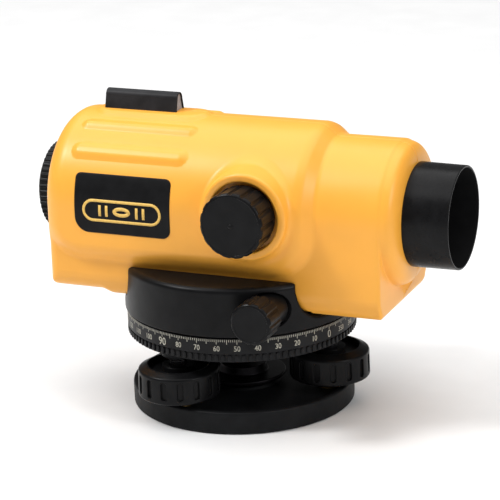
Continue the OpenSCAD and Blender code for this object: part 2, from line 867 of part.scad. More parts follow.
module mirror_glass()
    color([0.8, 0.85, 0.9])
    in_mirror_frame() block([-14, mirror_y[0] + 2.2, -0.9], [-2.6, mirror_y[1] - 2.2, -0.4]);

base_plate();
tripod_bush();
foot_cups();
foot_knob(0);  // foot_knob_a
foot_spindle(0);  // foot_spindle_a
foot_knob(1);  // foot_knob_b
foot_spindle(1);  // foot_spindle_b
foot_knob(2);  // foot_knob_c
foot_spindle(2);  // foot_spindle_c
spring_plate();
tribrach();
spindle_bush();
foot_nuts();
wave_spring();
bush_screws();
horizontal_circle();
alidade_base();
vertical_spindle();
spindle_nut();
worm_bushes();
right_housing();
left_housing();
housing_screws();
telescope_tube();
objective_cell();
objective_lens();
retaining_ring();
lens_hood();
reticle_cell();
reticle_glass();
reticle_screws();
compensator_frame();
fixed_prism();
damper_magnet();
suspension_pin();
eyepiece_sleeve();
sight_body();
sight_window();
label_plate();
vial_cell();
vial_glass();
vial_screws();
mirror_bracket();
focus_bush();
worm_shaft();
tangent_knob(-1);  // tangent_knob_right
tangent_knob(1);  // tangent_knob_left
worm_wheel();
focus_knob();
focus_pinion();
focus_carrier();
focus_rack();
focus_lens();
pendulum_arm();
moving_prism();
dioptre_ring();
eyepiece_barrel();
eyepiece_lens();
mirror_frame();
mirror_glass();
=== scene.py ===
"""Looks for the automatic level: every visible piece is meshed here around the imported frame.

Lengths inside this script are millimetres until a mesh is made, which is in metres.
"""
import json
import math

import bmesh
import bpy
import numpy as np
from mathutils import Matrix, Vector


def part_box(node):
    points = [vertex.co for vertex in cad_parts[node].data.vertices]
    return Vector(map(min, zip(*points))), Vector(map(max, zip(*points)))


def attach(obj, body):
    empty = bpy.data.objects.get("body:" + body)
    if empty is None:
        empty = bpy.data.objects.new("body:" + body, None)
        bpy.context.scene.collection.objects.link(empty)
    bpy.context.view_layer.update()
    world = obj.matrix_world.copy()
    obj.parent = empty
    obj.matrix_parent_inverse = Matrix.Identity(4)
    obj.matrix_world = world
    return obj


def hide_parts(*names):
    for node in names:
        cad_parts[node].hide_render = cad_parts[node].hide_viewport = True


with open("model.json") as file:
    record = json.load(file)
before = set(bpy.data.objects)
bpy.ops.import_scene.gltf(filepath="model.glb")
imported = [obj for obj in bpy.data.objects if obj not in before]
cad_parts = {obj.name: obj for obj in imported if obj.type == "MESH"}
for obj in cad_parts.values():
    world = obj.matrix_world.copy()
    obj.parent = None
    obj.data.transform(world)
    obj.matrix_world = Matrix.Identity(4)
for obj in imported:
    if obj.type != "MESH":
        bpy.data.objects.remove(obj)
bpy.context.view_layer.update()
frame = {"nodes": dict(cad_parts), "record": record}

MM = 0.001
JOINTS = {j["name"]: j for j in frame["record"]["behaviour"]["joints"]}


def box_mm(node):
    """Lowest and highest corner of a CAD node, in millimetres."""
    low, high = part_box(node)
    return np.array(low) / MM, np.array(high) / MM


def joint_at(name):
    """A joint's place, in millimetres."""
    return np.array(JOINTS[name]["pos_m"]) / MM


# ---- places from the frame

HOOD_LOW, HOOD_HIGH = box_mm("lens_hood")
SHELL_LOW, SHELL_HIGH = box_mm("right_housing")
PLATE_HIGH = box_mm("base_plate")[1]
CIRCLE_LOW, CIRCLE_HIGH = box_mm("horizontal_circle")
DECK_LOW, DECK_HIGH = box_mm("alidade_base")
KNOB_LOW, KNOB_HIGH = box_mm("foot_knob_a")
LABEL_LOW, LABEL_HIGH = box_mm("label_plate")
SIGHT_LOW, SIGHT_HIGH = box_mm("sight_body")
FOCUS_LOW, FOCUS_HIGH = box_mm("focus_knob")
FINE_LOW, FINE_HIGH = box_mm("tangent_knob_right")
RING_LOW, RING_HIGH = box_mm("dioptre_ring")
VIAL_LOW, VIAL_HIGH = box_mm("vial_cell")
SCREW_LOW, SCREW_HIGH = box_mm("housing_screws")

AXIS_Z = (HOOD_LOW[2] + HOOD_HIGH[2]) / 2
ON_AXIS = (0, 0, AXIS_Z)
HOOD_R = (HOOD_HIGH[2] - HOOD_LOW[2]) / 2
DRUM_R = box_mm("left_housing")[1][1]
BODY_R = DRUM_R - 5.3           # front drum, and half the width of the lower block
REAR_X = SHELL_LOW[0]
NOSE_END_X = SHELL_HIGH[0]
FRONT_X = NOSE_END_X - 7.2      # flat front face of the lower block
BLOCK_Z = SHELL_LOW[2]
BOSS_Y = SHELL_LOW[1]           # face of the collar around the focus knob
DOME_R = 11.1                   # rounding of the rear drum's end
NOSE_R = 13.0                   # rounding of the front drum's end
WALL = 2.5
FOCUS_BOSS_R = 20.1             # collar around the focus knob
FOCUS_RECESS_R = 16.4
FOCUS_X, FOCUS_Z = joint_at("focus_turn")[[0, 2]]
FINE_X, FINE_Z = joint_at("fine_motion_turn")[[0, 2]]
FEET = [joint_at("foot_screw_%s_turn" % k)[:2] for k in "abc"]
ALIDADE_R = DECK_HIGH[0]
CHEEK_Z = DECK_HIGH[2]
DECK_Z = BLOCK_Z - 0.2
CIRCLE_R = CIRCLE_HIGH[0]
SLEEVE_R = 14.05                # bore of the dioptre ring
VIAL_X, VIAL_Y = ((VIAL_LOW + VIAL_HIGH) / 2)[:2]


# ---- shaders

class Shader:
    """A Principled material with a few shorthand ways to add procedural detail."""

    def __init__(self, name, color, roughness, **sockets):
        self.material = bpy.data.materials.new(name)
        self.material.use_nodes = True
        self.tree = self.material.node_tree
        self.bsdf = self.tree.nodes["Principled BSDF"]
        self.coords = self.tree.nodes.new("ShaderNodeTexCoord").outputs["Object"]
        self.color = (*color, 1.0)
        self.bsdf.inputs["Base Color"].default_value = self.color
        self.bsdf.inputs["Roughness"].default_value = roughness
        for socket, value in sockets.items():
            self.bsdf.inputs[socket.replace("_", " ")].default_value = value
        self.height = None

    def add(self, kind, **settings):
        node = self.tree.nodes.new("ShaderNode" + kind)
        for key, value in settings.items():
            if key in node.inputs:
                node.inputs[key].default_value = value
            else:
                setattr(node, key, value)
        return node

    def link(self, source, target):
        self.tree.links.new(source, target)

    def noise(self, size_mm, detail=3.0, rough=0.55, stretch=(1, 1, 1)):
        """Noise whose features are about size_mm across."""
        mapping = self.add("Mapping", Scale=stretch)
        self.link(self.coords, mapping.inputs["Vector"])
        node = self.add("TexNoise", Scale=1 / (size_mm * MM), Detail=detail, Roughness=rough)
        self.link(mapping.outputs["Vector"], node.inputs["Vector"])
        return node.outputs["Fac"]

    def cells(self, size_mm):
        node = self.add("TexVoronoi", Scale=1 / (size_mm * MM))
        self.link(self.coords, node.inputs["Vector"])
        return node.outputs["Distance"]

    def tint(self, fac, dark, light, low=0.35, high=0.65):
        """Base colour that runs from dark to light with fac."""
        ramp = self.add("ValToRGB")
        ramp.color_ramp.elements[0].position = low
        ramp.color_ramp.elements[1].position = high
        ramp.color_ramp.elements[0].color = (*dark, 1)
        ramp.color_ramp.elements[1].color = (*light, 1)
        self.link(fac, ramp.inputs["Fac"])
        self.link(ramp.outputs["Color"], self.bsdf.inputs["Base Color"])
        return self

    def gloss(self, fac, low, high):
        """Roughness that runs from low to high with fac."""
        spread = self.add("MapRange", **{"To Min": low, "To Max": high})
        self.link(fac, spread.inputs["Value"])
        self.link(spread.outputs["Result"], self.bsdf.inputs["Roughness"])
        return self

    def bump(self, fac, height_mm, strength=1.0):
        """Relief of height_mm; further calls add to the earlier ones."""
        node = self.add("Bump", Strength=strength, Distance=height_mm * MM)
        self.link(fac, node.inputs["Height"])
        if self.height:
            self.link(self.height, node.inputs["Normal"])
        self.height = node.outputs["Normal"]
        self.link(self.height, self.bsdf.inputs["Normal"])
        return self


def scaled(color, k):
    return tuple(min(1.0, c * k) for c in color)


def yellow_plastic():
    color = (0.92, 0.415, 0.05)
    s = Shader("yellow_plastic", color, 0.36, Specular_IOR_Level=0.42)
    s.tint(s.noise(22, 4), scaled(color, 0.975), scaled(color, 1.02))
    s.gloss(s.noise(6, 5), 0.33, 0.42)
    s.bump(s.noise(0.55, 2), 0.012).bump(s.noise(9, 2), 0.03)
    return s.material


def moulded_black(name, level=0.022, rough=0.42, grain=0.5, relief=0.012):
    color = (level, level, level * 1.08)
    s = Shader(name, color, rough, Specular_IOR_Level=0.11)
    s.tint(s.noise(7, 5), scaled(color, 0.8), scaled(color, 1.25))
    s.gloss(s.noise(3, 4), rough - 0.06, rough + 0.07)
    s.bump(s.noise(grain, 2), relief)
    return s.material


def powder_coat():
    color = (0.0075, 0.0078, 0.0086)
    s = Shader("powder_coat", color, 0.45, Specular_IOR_Level=0.11)
    s.tint(s.noise(10, 5), scaled(color, 0.8), scaled(color, 1.3))
    s.gloss(s.noise(2, 3), 0.42, 0.56)
    s.bump(s.cells(0.5), 0.014).bump(s.noise(1.6, 2), 0.012)
    return s.material


def metal(name, color, rough, grain=(1, 1, 1), size=1.2):
    s = Shader(name, color, rough, Metallic=1.0)
    fine = s.noise(size, 4, 0.6, grain)
    s.tint(fine, scaled(color, 0.82), scaled(color, 1.08))
    s.gloss(fine, rough - 0.08, rough + 0.1)
    s.bump(fine, 0.004)
    return s.material


def paint_mark(name, color):
    s = Shader(name, color, 0.55)
    s.tint(s.noise(1.2, 4), scaled(color, 0.8), color)
    s.bump(s.noise(0.3, 2), 0.003)
    return s.material


def clear(name, color, ior=1.5, rough=0.0, mix=1.0):
    s = Shader(name, color, rough, Transmission_Weight=mix, IOR=ior, Coat_Weight=0.4)
    s.tint(s.noise(14, 2), scaled(color, 0.96), color)
    s.bump(s.noise(6, 1), 0.0005)
    return s.material


def silvered():
    s = Shader("silvered_glass", (0.86, 0.88, 0.9), 0.03, Metallic=1.0, Coat_Weight=1.0)
    s.tint(s.noise(4, 4), (0.8, 0.82, 0.84), (0.9, 0.91, 0.93))
    s.bump(s.noise(5, 1), 0.0004)
    return s.material


MATERIALS = {
    "yellow": yellow_plastic(),
    "knob": moulded_black("knob_plastic", 0.006, 0.31, 0.45),
    "casting": moulded_black("alidade_plastic", 0.0055, 0.34, 0.4, 0.008),
    "dial": moulded_black("dial_plastic", 0.01, 0.38, 0.35, 0.006),
    "hood": moulded_black("hood_lacquer", 0.007, 0.28, 0.3, 0.004),
    "sight": moulded_black("sight_plastic", 0.02, 0.4, 0.4, 0.008),
    "label": moulded_black("label_film", 0.007, 0.4, 0.8, 0.003),
    "matt_black": moulded_black("matt_lining", 0.004, 0.75, 0.3, 0.01),
    "coat": powder_coat(),
    "steel": metal("turned_steel", (0.52, 0.53, 0.55), 0.3, (1, 1, 12)),
    "dark_steel": metal("blackened_steel", (0.06, 0.06, 0.065), 0.4),
    "brass": metal("turned_brass", (0.62, 0.42, 0.16), 0.32, (1, 1, 10)),
    "aluminium": metal("anodised_aluminium", (0.5, 0.51, 0.53), 0.35, (10, 1, 1)),
    "magnet": metal("sintered_magnet", (0.12, 0.12, 0.13), 0.5),
    "glass": clear("optical_glass", (0.93, 0.97, 0.98), 1.52),
    "liquid": clear("vial_liquid", (0.62, 0.85, 0.25), 1.36, mix=0.8),
    "mirror": silvered(),
    "window": moulded_black("sight_window_plastic", 0.3, 0.3, 1.0, 0.004),
    "blued": metal("blued_spring_steel", (0.02, 0.019, 0.021), 0.42),
    "white_mark": paint_mark("dial_marks", (0.5, 0.48, 0.4)),
    "yellow_mark": paint_mark("yellow_marks", (0.88, 0.55, 0.12)),
}


# ---- distance fields

def round_cut(a, b, r):
    """What is inside both a and b, with a convex edge of radius r."""
    corner = np.hypot(np.maximum(a + r, 0), np.maximum(b + r, 0))
    return np.minimum(np.maximum(a, b), -r) + corner


def round_join(a, b, r):
    """What is inside a or b, with a concave fillet of radius r."""
    corner = np.hypot(np.maximum(r - a, 0), np.maximum(r - b, 0))
    return np.maximum(np.minimum(a, b), r) - corner


def slab(v, low, high):
    """Distance to the space between two parallel planes."""
    return np.maximum(low - v, v - high)


def corner_round(u, v, r):
    """Distance to the quadrant u < r, v < r with its corner rounded to r."""
    return np.hypot(np.maximum(u, 0), np.maximum(v, 0)) + np.minimum(np.maximum(u, v), 0) - r


def folded(x, y, count):
    """Folds the plane into one of count equal sectors around the origin."""
    sector = 2 * math.pi / count
    angle = np.arctan2(y, x)
    angle = angle - sector * np.round(angle / sector)
    radius = np.hypot(x, y)
    return radius * np.cos(angle), radius * np.sin(angle), radius


def surface_net(field, low, high, step):
    """Vertices and faces of the field's zero surface, one vertex in each crossed cell."""
    axes = [np.arange(lo - 1.5 * step, hi + 2.5 * step, step) for lo, hi in zip(low, high)]
    d = field(*np.meshgrid(*axes, indexing="ij", sparse=True))
    inside = d < 0
    shape = np.array(d.shape) - 1
    offsets = [np.array([i, j, k]) for i in (0, 1) for j in (0, 1) for k in (0, 1)]

    def shifted(array, o):
        return array[o[0]:o[0] + shape[0], o[1]:o[1] + shape[1], o[2]:o[2] + shape[2]]

    count = sum(shifted(inside, o).astype(np.int8) for o in offsets)
    active = (count > 0) & (count < 8)
    number = np.full(active.shape, -1)
    number[active] = np.arange(active.sum())
    cells = np.argwhere(active)
    total = np.zeros((len(cells), 3))
    hits = np.zeros(len(cells))
    for axis in range(3):
        unit = np.eye(3, dtype=int)[axis]
        for o in (o for o in offsets if o[axis] == 0):
            a = d[tuple((cells + o).T)]
            b = d[tuple((cells + o + unit).T)]
            crossed = (a < 0) != (b < 0)
            t = a[crossed] / (a[crossed] - b[crossed])
            total[crossed] += cells[crossed] + o + t[:, None] * unit
            hits[crossed] += 1
    verts = np.array([ax[0] for ax in axes]) + step * total / hits[:, None]

    faces = []
    for axis in range(3):
        u, v = np.eye(3, dtype=int)[(axis + 1) % 3], np.eye(3, dtype=int)[(axis + 2) % 3]
        ahead = np.roll(inside, -1, axis)
        edges = np.argwhere(inside != ahead)
        keep = np.all((edges >= 1) & (edges < shape), axis=1)
        edges = edges[keep]
        ring = [number[tuple((edges - o).T)] for o in (0 * u, u, u + v, v)]
        quads = np.stack(ring, axis=1)
        outward = inside[tuple(edges.T)]
        faces.append(np.where(outward[:, None], quads, quads[:, ::-1]))
    faces = np.concatenate(faces)
    return verts, faces[np.all(faces >= 0, axis=1)]


def slope_of(field, p, reach=0.03):
    """The field's gradient at each point."""
    g = np.empty_like(p)
    for axis in range(3):
        ahead, behind = p.copy(), p.copy()
        ahead[:, axis] += reach
        behind[:, axis] -= reach
        g[:, axis] = (field(*ahead.T) - field(*behind.T)) / (2 * reach)
    return g


def settled(field, p, step):
    """Points moved onto the field's zero surface, by no more than a step each."""
    start = p
    for _ in range(4):
        g = slope_of(field, p)
        square = np.maximum((g ** 2).sum(1), 0.05)
        p = p - (field(*p.T) / square)[:, None] * g
        move = p - start
        far = np.maximum(np.linalg.norm(move, axis=1) / step, 1)
        p = start + move / far[:, None]
    return p


# ---- mesh building

def linked(name, data):
    """A new object in the scene."""
    piece = bpy.data.objects.new(name, data)
    bpy.context.scene.collection.objects.link(piece)
    return piece


def shade(mesh, smooth):
    mesh.polygons.foreach_set("use_smooth", [smooth] * len(mesh.polygons))


def mesh_object(name, verts, faces, material, normals=None):
    """A smooth-shaded object from millimetre vertices."""
    mesh = bpy.data.meshes.new(name)
    mesh.from_pydata([tuple(v * MM) for v in verts], [], [tuple(int(i) for i in f) for f in faces])
    mesh.validate()
    shade(mesh, True)
    if normals is not None:
        mesh.normals_split_custom_set_from_vertices([tuple(n) for n in normals])
    mesh.materials.append(MATERIALS[material])
    return linked(name, mesh)


def thinned(verts, faces, keep):
    """The mesh with flat areas thinned out to a share of its faces."""
    mesh = bpy.data.meshes.new("draft")
    mesh.from_pydata(verts.tolist(), [], faces.tolist())
    draft = linked("draft", mesh)
    draft.modifiers.new("thin", "DECIMATE").ratio = keep
    result = draft.evaluated_get(bpy.context.evaluated_depsgraph_get()).to_mesh()
    points = np.empty(len(result.vertices) * 3)
    result.vertices.foreach_get("co", points)
    polygons = [tuple(p.vertices) for p in result.polygons]
    bpy.data.objects.remove(draft)
    bpy.data.meshes.remove(mesh)
    return points.reshape(-1, 3), polygons


def sculpted(name, field, low, high, step, material, keep=0.4):
    """An object whose surface is where the field is zero."""
    verts, faces = surface_net(field, low, high, step)
    verts = settled(field, verts, step)
    if keep < 1:
        verts, faces = thinned(verts, faces, keep)
        verts = settled(field, verts, step)
    slopes = slope_of(field, verts)
    normals = slopes / np.maximum(np.linalg.norm(slopes, axis=1), 1e-6)[:, None]
    return mesh_object(name, verts, faces, material, normals)


def filleted(corners, radii, steps=5):
    """Points and normals of a closed outline, anticlockwise, with rounded corners."""
    if np.isscalar(radii):
        radii = [radii] * len(corners)
    corners = [np.array(c, float) for c in corners]
    points, normals = [], []
    for i, here in enumerate(corners):
        before = corners[i - 1] - here
        after = corners[(i + 1) % len(corners)] - here
        room = 0.49 * min(np.linalg.norm(before), np.linalg.norm(after))
        before, after = before / np.linalg.norm(before), after / np.linalg.norm(after)
        turn = math.acos(np.clip(np.dot(before, after), -1, 1))
        normal_in = np.array([-before[1], before[0]])
        normal_out = np.array([after[1], -after[0]])
        radius = min(radii[i], room * math.tan(turn / 2))
        if radius < 1e-3 or turn > math.pi - 0.02:
            points += [here, here]
            normals += [normal_in, normal_out]
            continue
        back = radius / math.tan(turn / 2)
        for t in np.linspace(0, 1, steps):
            normal = normal_in * (1 - t) + normal_out * t
            normal /= np.linalg.norm(normal)
            convex = 1 if np.cross(-before, after) > 0 else -1
            middle = here + before * back - convex * normal_in * radius
            points.append(middle + convex * normal * radius)
            normals.append(normal)
    return np.array(points), np.array(normals)


def lathe(name, corners, radii, material, axis="z", centre=(0, 0, 0), segments=128):
    """Spins a closed outline of (radius, height) points about an axis through centre."""
    points, normals = filleted(corners, radii)
    count = len(points)
    turn = np.linspace(0, 2 * math.pi, segments, endpoint=False)
    cos, sin = np.cos(turn)[:, None], np.sin(turn)[:, None]

    def spun(flat):
        return np.stack([flat[:, 0] * cos, flat[:, 0] * sin, flat[:, 1] + 0 * cos], axis=-1)

    verts, outs = spun(points).reshape(-1, 3), spun(normals).reshape(-1, 3)
    order = {"z": [0, 1, 2], "x": [2, 0, 1], "y": [1, 2, 0]}[axis]
    verts, outs = verts[:, order] + np.array(centre), outs[:, order]
    ring = np.arange(count)
    following = (ring + 1) % count
    faces = []
    for s in range(segments):
        here, beyond = s * count, (s + 1) % segments * count
        faces.append(np.stack([here + ring, beyond + ring, beyond + following, here + following], 1))
    return mesh_object(name, verts, np.concatenate(faces), material, outs)


def joined(name, parts):
    """One object made of several."""
    bpy.ops.object.select_all(action="DESELECT")
    for part in parts:
        part.select_set(True)
    bpy.context.view_layer.objects.active = parts[0]
    bpy.ops.object.join()
    parts[0].name = name
    return parts[0]


def place(piece, body, slot, *nodes):
    """Puts a piece on the body it rides on and hides the CAD nodes it replaces; slot is not used."""
    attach(piece, body)
    if nodes:
        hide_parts(*nodes)
    return piece


# ---- telescope housing

PAD_CORNER_Z, PAD_CORNER_R = 93.0, 17.8
PAD_REAR_X, PAD_FRONT_X = -64.0, 29.4
RIBS = [(0.0, 9.9), (25.4, 3.3), (-25.4, 3.3), (48.3, 4.2), (-48.3, 4.2)]   # bearing, half width
RIB_X, RIB_HALF, RIB_HEIGHT, RIB_EDGE = -41.1, 28.9, 1.5, 4.0
BAND_Z = 63.0                   # below this the lower block's sides lean inward
SHAFT_HOLE_R, EYEPIECE_HOLE_R, OBJECTIVE_HOLE_R = 5.1, 14.2, 22.1
SCREW_Z = (SCREW_LOW[2] + SCREW_HIGH[2]) / 2
SCREW_HOLES = [(SCREW_LOW[0] + 3 + dx, SCREW_Z) for dx in (0, 18, 131, 147)]


def reach(y, z):
    """Distance from the arch's spine: round above the optical axis, straight-sided below."""
    return np.hypot(y, np.maximum(z - AXIS_Z, 0))


def block_field(x, y, z):
    heel = np.clip((-53 - x) / 6, 0, 1)
    floor = BLOCK_Z + 2.2 * heel * heel * (3 - 2 * heel)
    plan = round_cut(reach(y, z) - BODY_R, REAR_X + 0.2 - x, 5.2)
    lean = 0.894 * (reach(y, z) - BODY_R) + 0.447 * (BAND_Z - z)
    sides = round_cut(plan, lean, 1.0)
    ends = round_cut(sides, x - FRONT_X, 1.5)
    return round_cut(ends, floor - z, 4.5)


def drum_field(x, y, z):
    rho = reach(y, z)
    rear = corner_round(PAD_REAR_X - x, PAD_CORNER_Z - z, PAD_CORNER_R)
    front = corner_round(x - PAD_FRONT_X, PAD_CORNER_Z - z, PAD_CORNER_R)
    rim = np.where(x < -20, rear, front)
    bevel = 0.629 * rim + 0.777 * (rho - (DRUM_R + BODY_R) / 2)
    dome = round_cut(rho - DRUM_R, REAR_X + 0.2 - x, DOME_R)
    return round_cut(dome, bevel, 1.7)


def nose_field(x, y, z):
    around = np.hypot(y, z - AXIS_Z)
    dome = corner_round(x - (NOSE_END_X - 9.7), around - (BODY_R - 0.3 - NOSE_R), NOSE_R)
    return np.maximum(round_cut(dome, x - NOSE_END_X, 4.4), FRONT_X - 20 - x)


def rib_height(x, y, z):
    """How far the pillow-shaped ribs stand above the drum."""
    bearing = np.arctan2(-y, np.maximum(z - AXIS_Z, 0.01))
    height = 0
    for angle, half in RIBS:
        across = (bearing - math.radians(angle)) * DRUM_R
        along = np.maximum(np.abs(x - RIB_X) - (RIB_HALF - half), 0)
        inward = np.clip((half - np.hypot(along, across)) / RIB_EDGE + 0.12, 0, 1)
        height = np.maximum(height, RIB_HEIGHT * np.sin(inward * math.pi / 2) ** 1.3)
    return height


def housing_outside(x, y, z):
    """The whole yellow form, before its openings and hollow."""
    d = round_join(block_field(x, y, z), drum_field(x, y, z), 0.7)
    nose = nose_field(x, y, z)
    blend = np.clip(0.5 + 0.5 * (nose - d) / 0.6, 0, 1)
    d = nose * (1 - blend) + d * blend - 0.6 * blend * (1 - blend)
    d = d - rib_height(x, y, z)
    around = np.hypot(x - FOCUS_X, z - FOCUS_Z)
    flank = (around - FOCUS_BOSS_R - 0.13 * (y - BOSS_Y)) * 0.99
    collar = round_cut(round_cut(flank, BOSS_Y - y, 1.4), y + 15, 1)
    return round_join(d, collar, 2.6)


def housing_field(side):
    """One half of the housing as a shell; side is -1 for the right half, 1 for the left."""

    def field(x, y, z):
        outside = housing_outside(x, y, z)
        d = np.maximum(outside, -(outside + WALL))
        around = np.hypot(x - FOCUS_X, z - FOCUS_Z)
        recess = np.maximum(around - FOCUS_RECESS_R, y - BOSS_Y - 5)
        seat = np.maximum(np.maximum(outside, around - 19), y + DRUM_R - 4)
        d = round_cut(np.minimum(d, seat), -recess, 0.8)
        d = np.where(y < 0, np.maximum(d, SHAFT_HOLE_R - around), d)
        axis = np.hypot(y, z - AXIS_Z)
        d = np.maximum(d, -np.maximum(axis - EYEPIECE_HOLE_R, x + 60))
        d = np.maximum(d, -np.maximum(axis - OBJECTIVE_HOLE_R, 60 - x))
        worm = np.hypot(x - FINE_X, z - FINE_Z)
        d = np.maximum(d, SHAFT_HOLE_R - worm)
        window = np.maximum(np.maximum(np.abs(x) - 46, np.abs(y) - 29), z - BLOCK_Z - 4)
        d = np.maximum(d, -window)
        for hx, hz in SCREW_HOLES:
            hole = np.maximum(np.hypot(x - hx, z - hz) - 3.2, BODY_R - 3.1 - y)
            d = round_cut(d, -hole, 0.3)
        return round_cut(d, 0.07 - side * y, 0.4)

    return field


def build_housing():
    step = 0.7
    low = np.array([REAR_X, -DRUM_R - 4.5, BLOCK_Z])
    high = np.array([NOSE_END_X, 0.2, AXIS_Z + DRUM_R + 1.6])
    right = sculpted("housing_right", housing_field(-1), low, high, step, "yellow", 0.4)
    place(right, "alidade", "yellow_shell", "right_housing")
    low, high = low * [1, 0, 1] + [0, -0.2, 0], high * [1, 0, 1] + [0, DRUM_R + 0.1, 0]
    left = sculpted("housing_left", housing_field(1), low, high, step, "yellow", 0.4)
    place(left, "alidade", "yellow_shell", "left_housing")


build_housing()


# ---- label

def on_arch(x, s, radius):
    """A point on the arch; s runs up the right-hand wall and is zero at the optical axis."""
    turn = np.maximum(s, 0) / DRUM_R
    y = -radius * np.cos(turn)
    z = AXIS_Z + radius * np.sin(turn) + np.minimum(s, 0)
    return np.stack([x + 0 * s, y, z], axis=-1)


def arch_length(z):
    """The inverse of on_arch: how far up the wall a height is."""
    over = (z - AXIS_Z) / DRUM_R
    return DRUM_R * math.asin(over) if over > 0 else z - AXIS_Z


def arch_patch(name, xs, ss, height, material, squeeze=None):
    """A thin closed patch lying on the drum, height(x, s) mm above it."""
    x, s = np.meshgrid(xs, ss, indexing="ij")
    if squeeze:
        x, s = squeeze(x, s)
    top = on_arch(x, s, DRUM_R + height(x, s))
    foot = on_arch(x, s, DRUM_R - 0.3)
    rows, columns = x.shape
    number = np.arange(rows * columns).reshape(rows, columns)
    tops = np.stack([number[:-1, :-1], number[1:, :-1], number[1:, 1:], number[:-1, 1:]], -1).reshape(-1, 4)
    below = tops[:, ::-1] + rows * columns
    rim = np.concatenate([number[:, 0], number[-1, 1:], number[-2::-1, -1], number[0, -2:0:-1]])
    nxt = np.roll(rim, -1)
    skirt = np.stack([nxt, rim, rim + rows * columns, nxt + rows * columns], 1)
    verts = np.concatenate([top.reshape(-1, 3), foot.reshape(-1, 3)])
    return mesh_object(name, verts, np.concatenate([tops, below, skirt]), material)


def build_label():
    low = np.array([LABEL_LOW[0], arch_length(LABEL_LOW[2])])
    high = np.array([LABEL_HIGH[0], arch_length(LABEL_HIGH[2])])
    corners = [
        (low[0], low[1], 7.0), (high[0], low[1], 4.0),
        (high[0], high[1], 3.0), (low[0], high[1], 2.4),
    ]
    fine = [0, 0.12, 0.25, 0.45]

    def stations(a, b):
        return np.concatenate([a + np.array(fine), np.linspace(a + 1, b - 1, 44), b - np.array(fine)[::-1]])

    def squeeze(x, s):
        """Pulls the grid's corners in to the plate's round corners."""
        for cx, cs, r in corners:
            mx, ms = cx + (r if cx == low[0] else -r), cs + (r if cs == low[1] else -r)
            u, v = (x - mx) * np.sign(cx - mx), (s - ms) * np.sign(cs - ms)
            there = (u > 0) & (v > 0)
            longest = np.maximum(np.maximum(u, v), 1e-9)
            shrink = np.where(there, longest / np.maximum(np.hypot(u, v), 1e-9), 1)
            x = np.where(there, mx + (x - mx) * shrink, x)
            s = np.where(there, ms + (s - ms) * shrink, s)
        return x, s

    def rows_in(stations_along):
        """How many rows in from the nearer end each station is, up to three."""
        index = np.arange(len(stations_along))
        return np.minimum(np.minimum(index, index[::-1]), 3)

    xs, ss = stations(low[0], high[0]), stations(low[1], high[1])
    edge = np.minimum(rows_in(xs)[:, None], rows_in(ss)[None, :])
    rise = np.array([0.16, 0.28, 0.34, 0.37])[edge]
    plate = arch_patch("label_plate_film", xs, ss, lambda x, s: rise, "label", squeeze)
    place(plate, "alidade", "black_plastic", "label_plate")


def stroke(name, path, width, material, closed=False, top=0.42):
    """A painted line of the given width along a path of (x, s) points on the drum."""
    path = np.array(path, float)
    ahead = np.roll(path, -1, 0) - path
    behind = path - np.roll(path, 1, 0)
    if not closed:
        ahead[-1], behind[0] = ahead[-2] if len(path) > 2 else behind[-1], ahead[0]
    along = ahead / np.linalg.norm(ahead, axis=1)[:, None] + behind / np.linalg.norm(behind, axis=1)[:, None]
    along /= np.linalg.norm(along, axis=1)[:, None]
    side = np.stack([-along[:, 1], along[:, 0]], 1) * width / 2
    rails = [path + side, path - side]
    verts = np.concatenate([
        on_arch(rail[:, 0], rail[:, 1], DRUM_R + lift) for lift in (top, 0.2) for rail in rails
    ])
    n = len(path)
    i = np.arange(n if closed else n - 1)
    j = (i + 1) % n
    faces = [
        np.stack([i + n, j + n, j, i], 1),
        np.stack([i + 2 * n, j + 2 * n, j + 3 * n, i + 3 * n], 1),
        np.stack([i, j, j + 2 * n, i + 2 * n], 1),
        np.stack([j + n, i + n, i + 3 * n, j + 3 * n], 1),
    ]
    if not closed:
        faces.append(np.array([[n, 0, 2 * n, 3 * n], [n - 1, 2 * n - 1, 4 * n - 1, 3 * n - 1]]))
    return mesh_object(name, verts, np.concatenate(faces), material)


def build_emblem():
    """A generic spirit-level sign: a vial outline with its bubble and two marks."""
    cx, cs = (LABEL_LOW[0] + LABEL_HIGH[0]) / 2, 0.8
    half, r = 19.2, 4.6
    turns = np.radians(np.linspace(-90, 90, 17))
    right = [(cx + half - r + r * math.cos(t), cs + r * math.sin(t)) for t in turns]
    left = [(cx - half + r - r * math.cos(t), cs - r * math.sin(t)) for t in turns]
    round_turns = np.linspace(0, 2 * math.pi, 33)[:-1]
    bubble = [(cx + 3.6 * math.cos(t), cs + 1.5 * math.sin(t)) for t in round_turns]
    parts = [
        stroke("vial_outline", right + left, 1.3, "yellow_mark", closed=True),
        stroke("bubble_outline", bubble, 1.6, "yellow_mark", closed=True),
    ]
    for dx in (-11, -7.6, 7.6, 11):
        upright = [(cx + dx, cs - 2.6), (cx + dx, cs), (cx + dx, cs + 2.6)]
        parts.append(stroke("mark", upright, 1.3, "yellow_mark"))
    place(joined("label_emblem", parts), "alidade", "black_plastic")


build_label()
build_emblem()


# ---- sight

def sight_outline(y, z):
    """The sight's section: bowed sloping sides up to a round crown."""
    crown = 3.1
    drop = np.maximum(SIGHT_HIGH[2] - crown - z, 0)
    side = (np.abs(y) - crown - 0.27 * drop) * 0.965
    return np.where(drop > 0, side, np.hypot(y, z - SIGHT_HIGH[2] + crown) - crown)


def sight_field(x, y, z):
    outline = sight_outline(y, z)
    d = round_cut(outline, slab(x, SIGHT_LOW[0], SIGHT_HIGH[0]), 0.35)
    d = np.maximum(d, DRUM_R + 1.25 - np.hypot(y, z - AXIS_Z))
    front = np.maximum(outline + 0.75, SIGHT_HIGH[0] - 1.4 - x)
    d = round_cut(d, -front, 0.15)
    back = np.maximum(outline + 1.3, x - SIGHT_LOW[0] - 1.0)
    d = round_cut(d, -back, 0.15)
    return np.maximum(d, 1.2 - np.hypot(y, z - SIGHT_HIGH[2] + 4))


